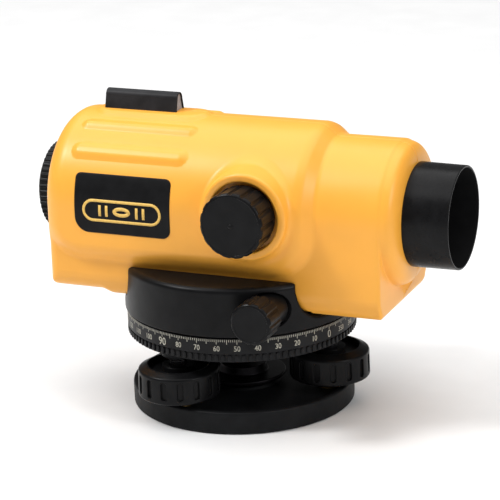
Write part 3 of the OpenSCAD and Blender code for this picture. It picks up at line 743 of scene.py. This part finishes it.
def sight_window_field(x, y, z):
    d = round_cut(sight_outline(y, z) + 0.85, slab(x, SIGHT_HIGH[0] - 1.5, SIGHT_HIGH[0] - 0.6), 0.2)
    return np.maximum(d, DRUM_R + 1.3 - np.hypot(y, z - AXIS_Z))


def build_sight():
    body = sculpted("open_sight", sight_field, SIGHT_LOW, SIGHT_HIGH, 0.3, "sight", 0.5)
    place(body, "alidade", "black_plastic", "sight_body")
    low = SIGHT_LOW + [30, 0, 0]
    window = sculpted("open_sight_window", sight_window_field, low, SIGHT_HIGH, 0.25, "window", 0.5)
    place(window, "alidade", "window", "sight_window")


build_sight()


# ---- optics seen from outside

def build_hood():
    end = HOOD_HIGH[0]
    start = NOSE_END_X - 0.3
    bore = 22.3
    corners = [(bore + 0.1, start), (HOOD_R, start), (HOOD_R - 0.2, end), (bore + 0.35, end)]
    hood = lathe("hood_tube", corners, [0.1, 0.3, 0.5, 0.4], "hood", "x", ON_AXIS, 160)
    place(hood, "alidade", "black_metal", "lens_hood")
    corners = [(bore - 0.3, start), (bore + 0.15, start), (bore + 0.4, end - 0.9), (bore + 0.1, end - 0.9)]
    lining = lathe("hood_lining", corners, [0.1, 0.1, 0.1, 0.1], "matt_black", "x", ON_AXIS, 128)
    place(lining, "alidade", "black_metal")


def build_objective():
    low, high = box_mm("objective_cell")
    tube = box_mm("telescope_tube")[1][0]
    corners = [
        (17.2, low[0]), (21.9, low[0]), (21.9, high[0]),
        (19.2, high[0]), (19.2, tube), (17.2, tube),
    ]
    piece = lathe("objective_mount", corners, 0.3, "matt_black", "x", ON_AXIS)
    place(piece, "alidade", "black_metal", "objective_cell")
    low, high = box_mm("retaining_ring")
    corners = [(16.9, low[0]), (18.95, low[0]), (18.95, high[0]), (17.6, high[0])]
    piece = lathe("objective_ring", corners, 0.25, "matt_black", "x", ON_AXIS)
    place(piece, "alidade", "black_metal", "retaining_ring")


def lens_outline(radius, back, front, sag):
    """Outline of a lens with two domed faces, from its axis to its rim and back."""
    across = np.linspace(0.001, radius, 14)
    dome = sag * (1 - (across / radius) ** 2)
    rear = [(r, back + sag - d) for r, d in zip(across, dome)]
    ahead = [(r, front - sag + d) for r, d in zip(across, dome)]
    return rear + ahead[::-1]


def build_lens(node, body, name, sag):
    low, high = box_mm(node)
    radius = (high[2] - low[2]) / 2 - 0.02
    corners = lens_outline(radius, low[0], high[0], sag)
    piece = lathe(name, corners, 0.0, "glass", "x", ON_AXIS)
    place(piece, body, "glass", node)


build_hood()
build_objective()
build_lens("objective_lens", "alidade", "objective_glass", 2.4)
build_lens("focus_lens", "focus_carriage", "focus_glass", 1.4)


# ---- eyepiece

def dioptre_field(x, y, z):
    u, v, r = folded(y, z - AXIS_Z, 48)
    radius = (RING_HIGH[1] - RING_LOW[1]) / 2
    front, back = RING_HIGH[0], RING_LOW[0]
    barrel = round_cut(r - radius, slab(x, front - 6.9, front), 0.8)
    crown = back + 0.3 - x + np.maximum(r - 12, 0) ** 2 * 0.055
    cap = round_cut(r - radius + 0.7, np.maximum(crown, x - front + 3), 0.9)
    groove = np.hypot(u - radius - 0.35, v) - 0.95
    barrel = round_cut(barrel, -groove, 0.2)
    d = np.minimum(barrel, cap)
    bore = np.maximum(r - SLEEVE_R, back + 1.7 - x)
    d = np.maximum(d, -bore)
    funnel = r - 8.2 - np.maximum(back + 2.2 - x, 0) * 0.9
    return round_cut(d, -funnel, 0.5)


def build_eyepiece():
    ring = sculpted("dioptre_knob", dioptre_field, RING_LOW, RING_HIGH, 0.42, "knob", 0.6)
    place(ring, "dioptre", "black_plastic", "dioptre_ring")
    low, high = box_mm("eyepiece_barrel")
    corners = [(7.6, low[0] + 1.6), (8.6, low[0]), (11.9, low[0]), (11.9, high[0]), (7.6, high[0])]
    barrel = lathe("eye_tube", corners, 0.3, "matt_black", "x", ON_AXIS, 96)
    place(barrel, "eyepiece", "black_metal", "eyepiece_barrel")
    low, high = box_mm("eyepiece_lens")
    outlines = [
        ("eye_lens", lens_outline(7.55, low[0], low[0] + 4, 1.0)),
        ("field_lens", lens_outline(7.55, high[0] - 3, high[0], 0.9)),
    ]
    lenses = [lathe(name, outline, 0.0, "glass", "x", ON_AXIS, 72) for name, outline in outlines]
    place(joined("eye_lenses", lenses), "eyepiece", "glass", "eyepiece_lens")


build_eyepiece()


# ---- knobs

def grip_field(radius, near, far, count, groove, neck, neck_near, bore=None):
    """A grooved hand knob along its own +z: a neck, then a head with a bevelled face."""

    def field(x, y, z):
        u, v, r = folded(x, y, count)
        bevel = (r - radius + 0.45) * 0.7 + (z - far + 0.45) * 0.7
        head = round_cut(round_cut(r - radius, slab(z, near, far), 0.3), bevel, 0.3)
        cut = np.hypot(u - radius - 0.45, v) - groove
        head = round_cut(head, -np.maximum(cut, z - far + 0.6), 0.25)
        stem = round_cut(r - neck, slab(z, neck_near, near + 1), 0.4)
        d = round_join(head, stem, 0.8)
        dished = np.maximum(r - radius + 1.6, far - 0.15 - z)
        d = round_cut(d, -dished, 0.15)
        return d if bore is None else np.maximum(d, -np.maximum(r - bore, z - far + 5))

    return field


def turned(piece, angle, axis, centre):
    """Bakes a rotation and a move into a piece's mesh."""
    piece.data.transform(Matrix.Translation(Vector(centre) * MM) @ Matrix.Rotation(angle, 4, axis))
    return piece


def build_focus_knob():
    near, far = -FOCUS_HIGH[1], -FOCUS_LOW[1] - 0.3
    radius = (FOCUS_HIGH[0] - FOCUS_LOW[0]) / 2
    base = grip_field(radius, near + 3.6, far, 16, 1.2, radius - 0.9, near, 2.5)

    def field(x, y, z):
        d = base(x, y, z)
        nib = np.sqrt((x / 1.3) ** 2 + y ** 2 + ((z - far + 0.15) / 0.5) ** 2) * 0.7 - 0.7
        seam = np.maximum(np.abs(y) - 0.07, np.abs(z - far + 0.25) - 0.06)
        return np.minimum(round_join(d, nib, 0.15), np.maximum(seam, np.hypot(x, y) - radius + 3.0))

    half = radius + 0.1
    low, high = np.array([-half, -half, near]), np.array([half, half, far + 0.4])
    knob = sculpted("focus_grip", field, low, high, 0.36, "knob", 0.55)
    turned(knob, math.radians(90), "X", (FOCUS_X, 0, FOCUS_Z))
    place(knob, "focus_control", "black_plastic", "focus_knob")


def build_fine_knobs():
    near, far = -FINE_HIGH[1], -FINE_LOW[1]
    radius = (FINE_HIGH[0] - FINE_LOW[0]) / 2
    field = grip_field(radius, near + 12.6, far, 12, 1.05, radius - 1.7, near, 3)
    low, high = np.array([-radius, -radius, near]), np.array([radius, radius, far])
    for turn, hand in ((90, "right"), (-90, "left")):
        knob = sculpted("fine_knob_" + hand, field, low, high, 0.3, "knob", 0.55)
        turned(knob, math.radians(turn), "X", (FINE_X, 0, FINE_Z))
        place(knob, "fine_motion", "black_plastic", "tangent_knob_" + hand)


build_focus_knob()
build_fine_knobs()


# ---- foot screws

FOOT_KNOB_R, FOOT_SLOTS = 19.0, 15


def foot_knob_field(x, y, z):
    low, high, radius = KNOB_LOW[2], KNOB_HIGH[2], FOOT_KNOB_R
    u, v, r = folded(x, y, FOOT_SLOTS)
    d = round_cut(r - radius + 0.016 * (z - low), slab(z, low, high), 1.0)
    bevel = 0.438 * (r - radius + 0.2) + 0.898 * (z - high + 2.3)
    d = round_cut(d, bevel, 0.7)
    dish = np.maximum(np.maximum(r - 14.0, 7.6 - r), high - 3.4 - z)
    d = round_cut(d, -dish, 0.8)
    top = np.maximum(r - 8.6, high - 0.7 - z)
    d = round_cut(d, -top, 0.3)
    middle = (low + high) / 2 - 0.9
    stadium = np.hypot(v, np.maximum(np.abs(z - middle) - 3.1, 0)) - 1.35
    d = round_cut(d, -np.maximum(stadium, radius - 1.3 - u), 0.3)
    return np.maximum(d, 4.0 - r)


def build_feet():
    half = FOOT_KNOB_R + 0.1
    low, high = np.array([-half, -half, KNOB_LOW[2]]), np.array([half, half, KNOB_HIGH[2]])
    master = sculpted("foot_grip_a", foot_knob_field, low, high, 0.34, "knob", 0.45)
    knobs = [master] + [linked("foot_grip_" + key, master.data.copy()) for key in "bc"]
    for key, knob, (fx, fy) in zip("abc", knobs, FEET):
        turned(knob, math.atan2(fy, fx), "Z", (fx, fy, 0))
        place(knob, "foot_screw_" + key, "black_plastic", "foot_knob_" + key)
        build_foot_spindle(key, (fx, fy, 0))


def build_foot_spindle(key, centre):
    """Ball end, neck and threaded shank in one turned piece."""
    low, high = box_mm("foot_spindle_" + key)
    ball = [(3.98 * math.sin(t), low[2] + 4 - 3.98 * math.cos(t)) for t in np.radians(np.arange(4, 141, 8))]
    corners = [(0.001, low[2] + 0.02)] + ball + [(2.6, KNOB_LOW[2] - 0.4), (3.9, KNOB_LOW[2] + 0.4)]
    radii = [0.0] * (len(ball) + 1) + [0.3, 0.3]
    at = KNOB_HIGH[2] - 0.4
    while at < high[2] - 1.2:
        corners += [(3.95, at), (3.5, at + 0.3), (3.5, at + 0.45), (3.95, at + 0.75)]
        radii += [0.05] * 4
        at += 1.0
    corners += [(3.95, high[2] - 0.8), (3.2, high[2]), (0.001, high[2])]
    radii += [0.1, 0.2, 0.0]
    spindle = lathe("foot_screw_shank_" + key, corners, radii, "dark_steel", "z", centre, 48)
    place(spindle, "foot_screw_" + key, "steel", "foot_spindle_" + key)


build_feet()


# ---- base

def build_base_disc():
    r, top = PLATE_HIGH[0], PLATE_HIGH[2]
    corners = [
        (14.1, 0), (r, 0), (r, top), (r - 2.4, top),
        (r - 5.2, top - 2.6), (17.5, top - 2.6), (16.5, top - 1.4), (14.1, top - 1.4),
    ]
    plate = lathe("base_disc", corners, [0.3, 0.9, 1.1, 0.8, 1.5, 0.8, 0.4, 0.2], "coat", segments=256)
    place(plate, "base", "black_metal", "base_plate")


def build_tripod_bush(outer=13.95, pitch=2.31):
    low, high = box_mm("tripod_bush")
    bore = frame["record"]["mounts"][0]["dims"]["r_mm"]
    at, inner = low[2] + 0.6, bore + 0.5
    corners = [(inner, 0), (outer, 0), (outer, high[2]), (inner, high[2])]
    radii = [0.2, 0.2, 0.4, 0.2]
    threads = []
    while at < high[2] - 1.8:
        threads += [(bore, at), (bore + 0.9, at + 0.9), (bore + 0.9, at + 1.05), (bore, at + 1.95)]
        at += pitch
    corners += threads[::-1]
    radii += [0.08] * len(threads)
    bush = lathe("tripod_thread_bush", corners, radii, "brass", segments=96)
    place(bush, "base", "brass", "tripod_bush")


def build_spring_leaf():
    low, high = box_mm("spring_plate")
    r, leaf_top = high[0], low[2] + 1.8
    corners = [(5.1, low[2]), (r, low[2]), (r, leaf_top), (11.4, leaf_top), (11, high[2]), (5.1, high[2])]
    leaf = lathe("spring_leaf", corners, [0.2, 0.5, 0.6, 0.8, 0.4, 0.2], "blued", segments=128)
    place(leaf, "spring_stage", "steel", "spring_plate")


build_base_disc()
build_tripod_bush()
build_spring_leaf()


# ---- tribrach

TRIBRACH_LOW, TRIBRACH_HIGH = box_mm("tribrach")
HUB_R, PLATE_R, JOURNAL_R, PLATE_TOP = 17.5, 30, 19.95, 41.0
ARM_HALF, LOBE_R = 6.8, 7.6
NUT_HOLE_R, BUSH_HOLE_R, SET_SCREW_R, SET_SCREW_Z = 6.22, 12.02, 1.55, 29.4


def tribrach_field(x, y, z):
    r = np.hypot(x, y)
    hub = round_cut(r - HUB_R, slab(z, TRIBRACH_LOW[2], PLATE_TOP), 0.8)
    plate = round_cut(r - PLATE_R, slab(z, 33.2, PLATE_TOP), 1.0)
    journal = np.maximum(r - JOURNAL_R, slab(z, 37.2, TRIBRACH_HIGH[2]))
    d = round_join(round_join(hub, plate, 2.5), journal, 0.6)
    holes = r - BUSH_HOLE_R
    for fx, fy in FEET:
        away = math.hypot(fx, fy)
        along, across = (x * fx + y * fy) / away, (y * fx - x * fy) / away
        from_screw = np.hypot(x - fx, y - fy)
        arm = round_cut(np.abs(across) - ARM_HALF, slab(z, 32.7, 39.4), 1.2)
        arm = np.maximum(arm, slab(along, 5, away))
        lobe = round_cut(from_screw - LOBE_R, slab(z, 31.6, 40.9), 0.6)
        d = round_join(round_join(d, arm, 1.6), lobe, 1.6)
        set_screw = np.maximum(np.hypot(across, z - SET_SCREW_Z) - SET_SCREW_R, 10 + along)
        holes = np.minimum(holes, np.minimum(from_screw - NUT_HOLE_R, set_screw))
    return np.maximum(d, -holes)


def build_tribrach():
    low, high = TRIBRACH_LOW, TRIBRACH_HIGH
    piece = sculpted("tribrach_body", tribrach_field, low, high, 0.9, "coat", 0.5)
    place(piece, "tribrach", "black_metal", "tribrach")


build_tribrach()


# ---- horizontal circle

ZERO_MARK = math.radians(-19.75)   # bearing of the circle's zero
NUMERAL_SIZE = 3.6
CIRCLE_BORE_R, WEB_LOW, WEB_HIGH = 20.1, 43.5, 46.2


def wrapped(bearing, height, radius):
    """Points on the dial's rim."""
    return np.stack([radius * np.cos(bearing), radius * np.sin(bearing), height + 0 * bearing], axis=-1)


def build_circle():
    r, low, high = CIRCLE_R, CIRCLE_LOW[2], CIRCLE_HIGH[2]
    corners = [
        (CIRCLE_BORE_R, WEB_LOW), (r - 4, WEB_LOW), (r - 4, low), (r - 0.9, low),
        (r - 0.75, low + 0.5), (r - 0.75, low + 3.7), (r, low + 4.1), (r, high),
        (r - 4.6, high), (r - 5.6, WEB_HIGH), (CIRCLE_BORE_R, WEB_HIGH),
    ]
    radii = [0.2, 0.5, 0.3, 0.3, 0.2, 0.3, 0.35, 0.45, 0.4, 0.5, 0.2]
    rim = lathe("circle_rim", corners, radii, "dial", segments=360)
    place(rim, "circle", "black_metal", "horizontal_circle")
    for piece in (circle_ribs(r, low), circle_ticks(r, high), circle_numerals(r, high)):
        place(piece, "circle", "black_metal")


def circle_ribs(r, low, count=108):
    """Upright grip ribs with round ends, as layered stadium outlines."""
    half, height, middle = 0.92, 3.3, low + 2.05
    turns = np.linspace(0, 2 * math.pi, 16, endpoint=False)
    layers = [(0.0, -0.9), (0.0, -0.3), (0.12, -0.08), (0.4, 0.0)]
    verts, faces = [], []
    for i in range(count):
        bearing = 2 * math.pi * i / count
        first = len(verts) * 16
        for inset, lift in layers:
            across = (half - inset) * np.cos(turns)
            up = (half - inset) * np.sin(turns) + np.sign(np.sin(turns) + 1e-9) * (height / 2 - half)
            verts.append(wrapped(bearing + across / r, middle + up, r + lift))
        j = np.arange(16)
        k = (j + 1) % 16
        for layer in range(len(layers) - 1):
            a = first + layer * 16
            faces += np.stack([a + j, a + k, a + 16 + k, a + 16 + j], 1).tolist()
        faces.append((first + 16 * (len(layers) - 1) + j).tolist())
        faces.append((first + j[::-1]).tolist())
    return mesh_object("circle_ribs", np.concatenate(verts), faces, "dial")


def circle_ticks(r, high):
    """A mark at every degree, longer at every five."""
    verts, faces = [], []
    for n in range(360):
        bearing = ZERO_MARK - math.radians(n)
        left, right = bearing - 0.13 / r, bearing + 0.13 / r
        foot, head = high - (2.7 if n % 5 == 0 else 1.6), high - 0.45
        corners = [(left, foot), (right, foot), (right, head), (left, head)]
        first = 8 * n
        for lift in (0.03, -0.2):
            verts += [wrapped(np.array(b), h, r + lift) for b, h in corners]
        faces += [[first + k for k in (0, 1, 2, 3)], [first + k for k in (7, 6, 5, 4)]]
        for k in range(4):
            m = (k + 1) % 4
            faces.append([first + m, first + k, first + 4 + k, first + 4 + m])
    piece = mesh_object("circle_ticks", np.array(verts), faces, "white_mark")
    shade(piece.data, False)
    return piece


def circle_numerals(r, high):
    """The numbers 0 to 350 around the rim, every ten degrees; the quadrant numbers are larger."""
    parts = []
    for n in range(0, 360, 10):
        size = NUMERAL_SIZE * (1.45 if n % 90 == 0 else 1)
        curve = bpy.data.curves.new("numeral", "FONT")
        curve.body = str(n)
        curve.size = size
        curve.align_x = "CENTER"
        curve.resolution_u = 3
        curve.extrude = 0.04
        text = linked("numeral", curve)
        mesh = bpy.data.meshes.new_from_object(text.evaluated_get(bpy.context.evaluated_depsgraph_get()))
        bpy.data.objects.remove(text)
        flat = np.empty(len(mesh.vertices) * 3)
        mesh.vertices.foreach_get("co", flat)
        flat = flat.reshape(-1, 3)
        bearing = ZERO_MARK - math.radians(n) + flat[:, 0] * 0.86 / r
        foot = high - 4.7 - 0.73 * size / 2
        verts = wrapped(bearing, foot + flat[:, 1], r + flat[:, 2] - 0.01)
        parts.append(mesh_object("numeral", verts, [tuple(p.vertices) for p in mesh.polygons], "white_mark"))
        shade(parts[-1].data, False)
    return joined("circle_numerals", parts)


build_circle()


# ---- alidade base

KNOB_WELL_R, WORM_HOLE_R, VIAL_WELL_R, SPINDLE_HOLE_R = 8.9, 4.6, 7.3, 9.1


def alidade_field(x, y, z):
    r = np.hypot(x, y)
    top = round_cut(z - CHEEK_Z, 0.3 - block_field(x, y, z), 0.9)
    d = round_cut(r - ALIDADE_R, top, 2.6)
    d = round_cut(d, DECK_LOW[2] - z, 0.5)
    well = np.hypot(x - FINE_X, z - FINE_Z)
    seat = np.maximum(well - KNOB_WELL_R, 37 - np.abs(y))
    d = round_cut(d, -seat, 0.5)
    d = np.maximum(d, WORM_HOLE_R - well)
    under = np.maximum(r - ALIDADE_R + 3.5, z - DECK_LOW[2] - 3)
    d = round_cut(d, -under, 0.4)
    vial = np.hypot(x - VIAL_X, y - VIAL_Y)
    d = round_cut(d, -np.maximum(vial - VIAL_WELL_R, CHEEK_Z - 4 - z), 0.4)
    pillar = np.maximum(slab(x, FINE_X - 5.5, FINE_X + 5.5), slab(np.abs(y), 17, 23))
    pillar = np.maximum(pillar, slab(z, DECK_Z - 1, FINE_Z + 5))
    d = np.minimum(d, round_cut(pillar, WORM_HOLE_R - well, 0.2))
    return np.maximum(d, SPINDLE_HOLE_R - r)


def build_alidade():
    step = 0.75
    piece = sculpted("alidade_casting", alidade_field, DECK_LOW, DECK_HIGH, step, "casting", 0.4)
    place(piece, "alidade", "black_metal", "alidade_base")


build_alidade()


# ---- vial and mirror

MIRROR_TILT = math.radians(45)


def build_vial():
    low, high = VIAL_LOW, VIAL_HIGH
    at = (VIAL_X, VIAL_Y, 0)
    corners = [(5.45, low[2]), (7.18, low[2]), (7.18, high[2]), (5.45, high[2])]
    cell = lathe("vial_housing", corners, [0.2, 0.2, 0.4, 0.4], "knob", centre=at, segments=64)
    place(cell, "alidade", "black_plastic", "vial_cell")
    across = np.linspace(0.001, 5.3, 10)
    dome = [(r, high[2] - 0.35 - 0.7 * (r / 5.3) ** 2) for r in across[::-1]]
    corners = [(0.001, low[2] + 0.3), (5.3, low[2] + 0.3)] + dome
    glass = lathe("vial_dome", corners, 0.0, "liquid", centre=at, segments=64)
    place(glass, "alidade", "vial_liquid", "vial_glass")
    foot, head = high[2] - 0.42, high[2] - 0.3
    corners = [(2.1, foot), (2.35, foot), (2.35, head), (2.1, head)]
    ring = lathe("vial_target", corners, 0.02, "matt_black", centre=at, segments=48)
    place(ring, "alidade", "vial_liquid")


def bevelled_bar(name, low, high, bevel, material="knob"):
    """A bar with rounded edges."""
    bm = bmesh.new()
    bmesh.ops.create_cube(bm, size=1)
    middle, size = (np.array(low) + high) / 2, np.array(high) - low
    for v in bm.verts:
        v.co = Vector((np.array(v.co) * size + middle) * MM)
    bmesh.ops.bevel(bm, geom=bm.edges[:], offset=bevel * MM, segments=3, profile=0.7, affect="EDGES")
    mesh = bpy.data.meshes.new(name)
    bm.to_mesh(mesh)
    bm.free()
    shade(mesh, True)
    mesh.materials.append(MATERIALS[material])
    return linked(name, mesh)


def build_mirror():
    low, high = box_mm("mirror_bracket")
    hinge = joint_at("mirror_fold")
    bars = [
        bevelled_bar("upright", low, [high[0], low[1] + 1.35, high[2]], 0.4),
        bevelled_bar("upright", [low[0], high[1] - 1.35, low[2]], high, 0.4),
        bevelled_bar("foot", low, [high[0], high[1], low[2] + 1.2], 0.3),
    ]
    place(joined("mirror_fork", bars), "alidade", "black_plastic", "mirror_bracket")
    low, high = box_mm("mirror_frame")
    near, far = low[1] + 1.4, high[1] - 1.4
    bars = [
        bevelled_bar("rim", [-15, near, -0.9], [-14.1, far, 1], 0.3),
        bevelled_bar("rim", [-15, near, -0.9], [-1.4, near + 0.75, 1], 0.3),
        bevelled_bar("rim", [-15, far - 0.75, -0.9], [-1.4, far, 1], 0.3),
        bevelled_bar("knuckle", [-2.5, near, -1.2], [1, far, 1.2], 0.5),
        bevelled_bar("backing", [-14.6, near + 0.3, -0.35], [-1.8, far - 0.3, 1], 0.2),
    ]
    tray = turned(joined("mirror_tray", bars), MIRROR_TILT, "Y", (hinge[0], 0, hinge[2]))
    place(tray, "mirror", "black_plastic", "mirror_frame")
    pane = bevelled_bar("mirror_pane", [-14, near + 0.8, -0.75], [-2.6, far - 0.8, -0.4], 0.08, "mirror")
    turned(pane, MIRROR_TILT, "Y", (hinge[0], 0, hinge[2]))
    place(pane, "mirror", "mirror", "mirror_glass")


build_vial()
build_mirror()


# ---- CAD nodes that stay

SLOT_MATERIALS = {
    "black_plastic": "knob", "black_metal": "coat", "yellow_shell": "yellow", "brass": "brass",
    "steel": "steel", "aluminium": "aluminium", "magnet": "magnet", "glass": "glass",
    "vial_liquid": "liquid", "mirror": "mirror", "window": "window",
}
OWN_MATERIALS = {"housing_screws": "dark_steel", "spindle_nut": "dark_steel", "eyepiece_sleeve": "matt_black",
                 "reticle_cell": "matt_black"}


def finish_cad_nodes():
    for part in frame["record"]["subparts"]:
        piece = frame["nodes"][part["node"]]
        key = OWN_MATERIALS.get(part["node"], SLOT_MATERIALS[part["material_slot"]])
        piece.data.materials.clear()
        piece.data.materials.append(MATERIALS[key])


finish_cad_nodes()


# ---- floor, light and camera

def pale_floor():
    s = Shader("pale_floor", (0.86, 0.86, 0.86), 0.6)
    s.tint(s.noise(40, 3), (0.85, 0.85, 0.85), (0.88, 0.88, 0.88))
    bm = bmesh.new()
    bmesh.ops.create_grid(bm, x_segments=4, y_segments=4, size=6)
    mesh = bpy.data.meshes.new("floor")
    bm.to_mesh(mesh)
    bm.free()
    mesh.materials.append(s.material)
    floor = linked("floor", mesh)
    floor.location.z = -0.0002


def soft_light(name, place_at, aim, size, power):
    light = bpy.data.lights.new(name, "AREA")
    light.shape = "RECTANGLE"
    light.size, light.size_y = size
    light.energy = power
    lamp = linked(name, light)
    lamp.location = place_at
    lamp.rotation_euler = (Vector(aim) - Vector(place_at)).to_track_quat("-Z", "Y").to_euler()


def studio():
    world = bpy.data.worlds.new("studio")
    world.use_nodes = True
    world.node_tree.nodes["Background"].inputs["Color"].default_value = (1, 1, 1, 1)
    world.node_tree.nodes["Background"].inputs["Strength"].default_value = 0.16
    bpy.context.scene.world = world
    bpy.context.scene.view_settings.view_transform = "Standard"
    soft_light("overhead", (-0.2, 0.2, 2.6), (-0.2, 0.2, 0), (4, 4), 108)
    soft_light("upper_left", (-0.75, -0.5, 1.05), (0, 0, 0.08), (0.26, 0.26), 9)
    soft_light("right", (1.0, -0.35, 0.6), (0, 0, 0.08), (0.3, 0.4), 4)


# The camera stands where the object's own rims and dial marks say that it stood.
CAMERA_AZIMUTH, CAMERA_ELEVATION, CAMERA_ROLL = 22.95, 17.42, -1.81
CAMERA_DISTANCE = 1.0876
CAMERA_AIM = Vector((0.00506, 0, 0.0723))
CAMERA_LENS = 167.5


def camera():
    azimuth, elevation = math.radians(CAMERA_AZIMUTH), math.radians(CAMERA_ELEVATION)
    back = Vector((
        math.sin(azimuth) * math.cos(elevation),
        -math.cos(azimuth) * math.cos(elevation),
        math.sin(elevation),
    ))
    right = Vector((math.cos(azimuth), math.sin(azimuth), 0))
    up = back.cross(right)
    roll = math.radians(CAMERA_ROLL)
    right, up = (
        math.cos(roll) * right + math.sin(roll) * up,
        math.cos(roll) * up - math.sin(roll) * right,
    )
    data = bpy.data.cameras.new("camera")
    data.lens = CAMERA_LENS
    data.clip_start = 0.05
    eye = linked("camera", data)
    turn = Matrix((right, up, back)).transposed()
    eye.matrix_world = Matrix.Translation(CAMERA_AIM + CAMERA_DISTANCE * back) @ turn.to_4x4()
    bpy.context.scene.camera = eye


pale_floor()
studio()
camera()
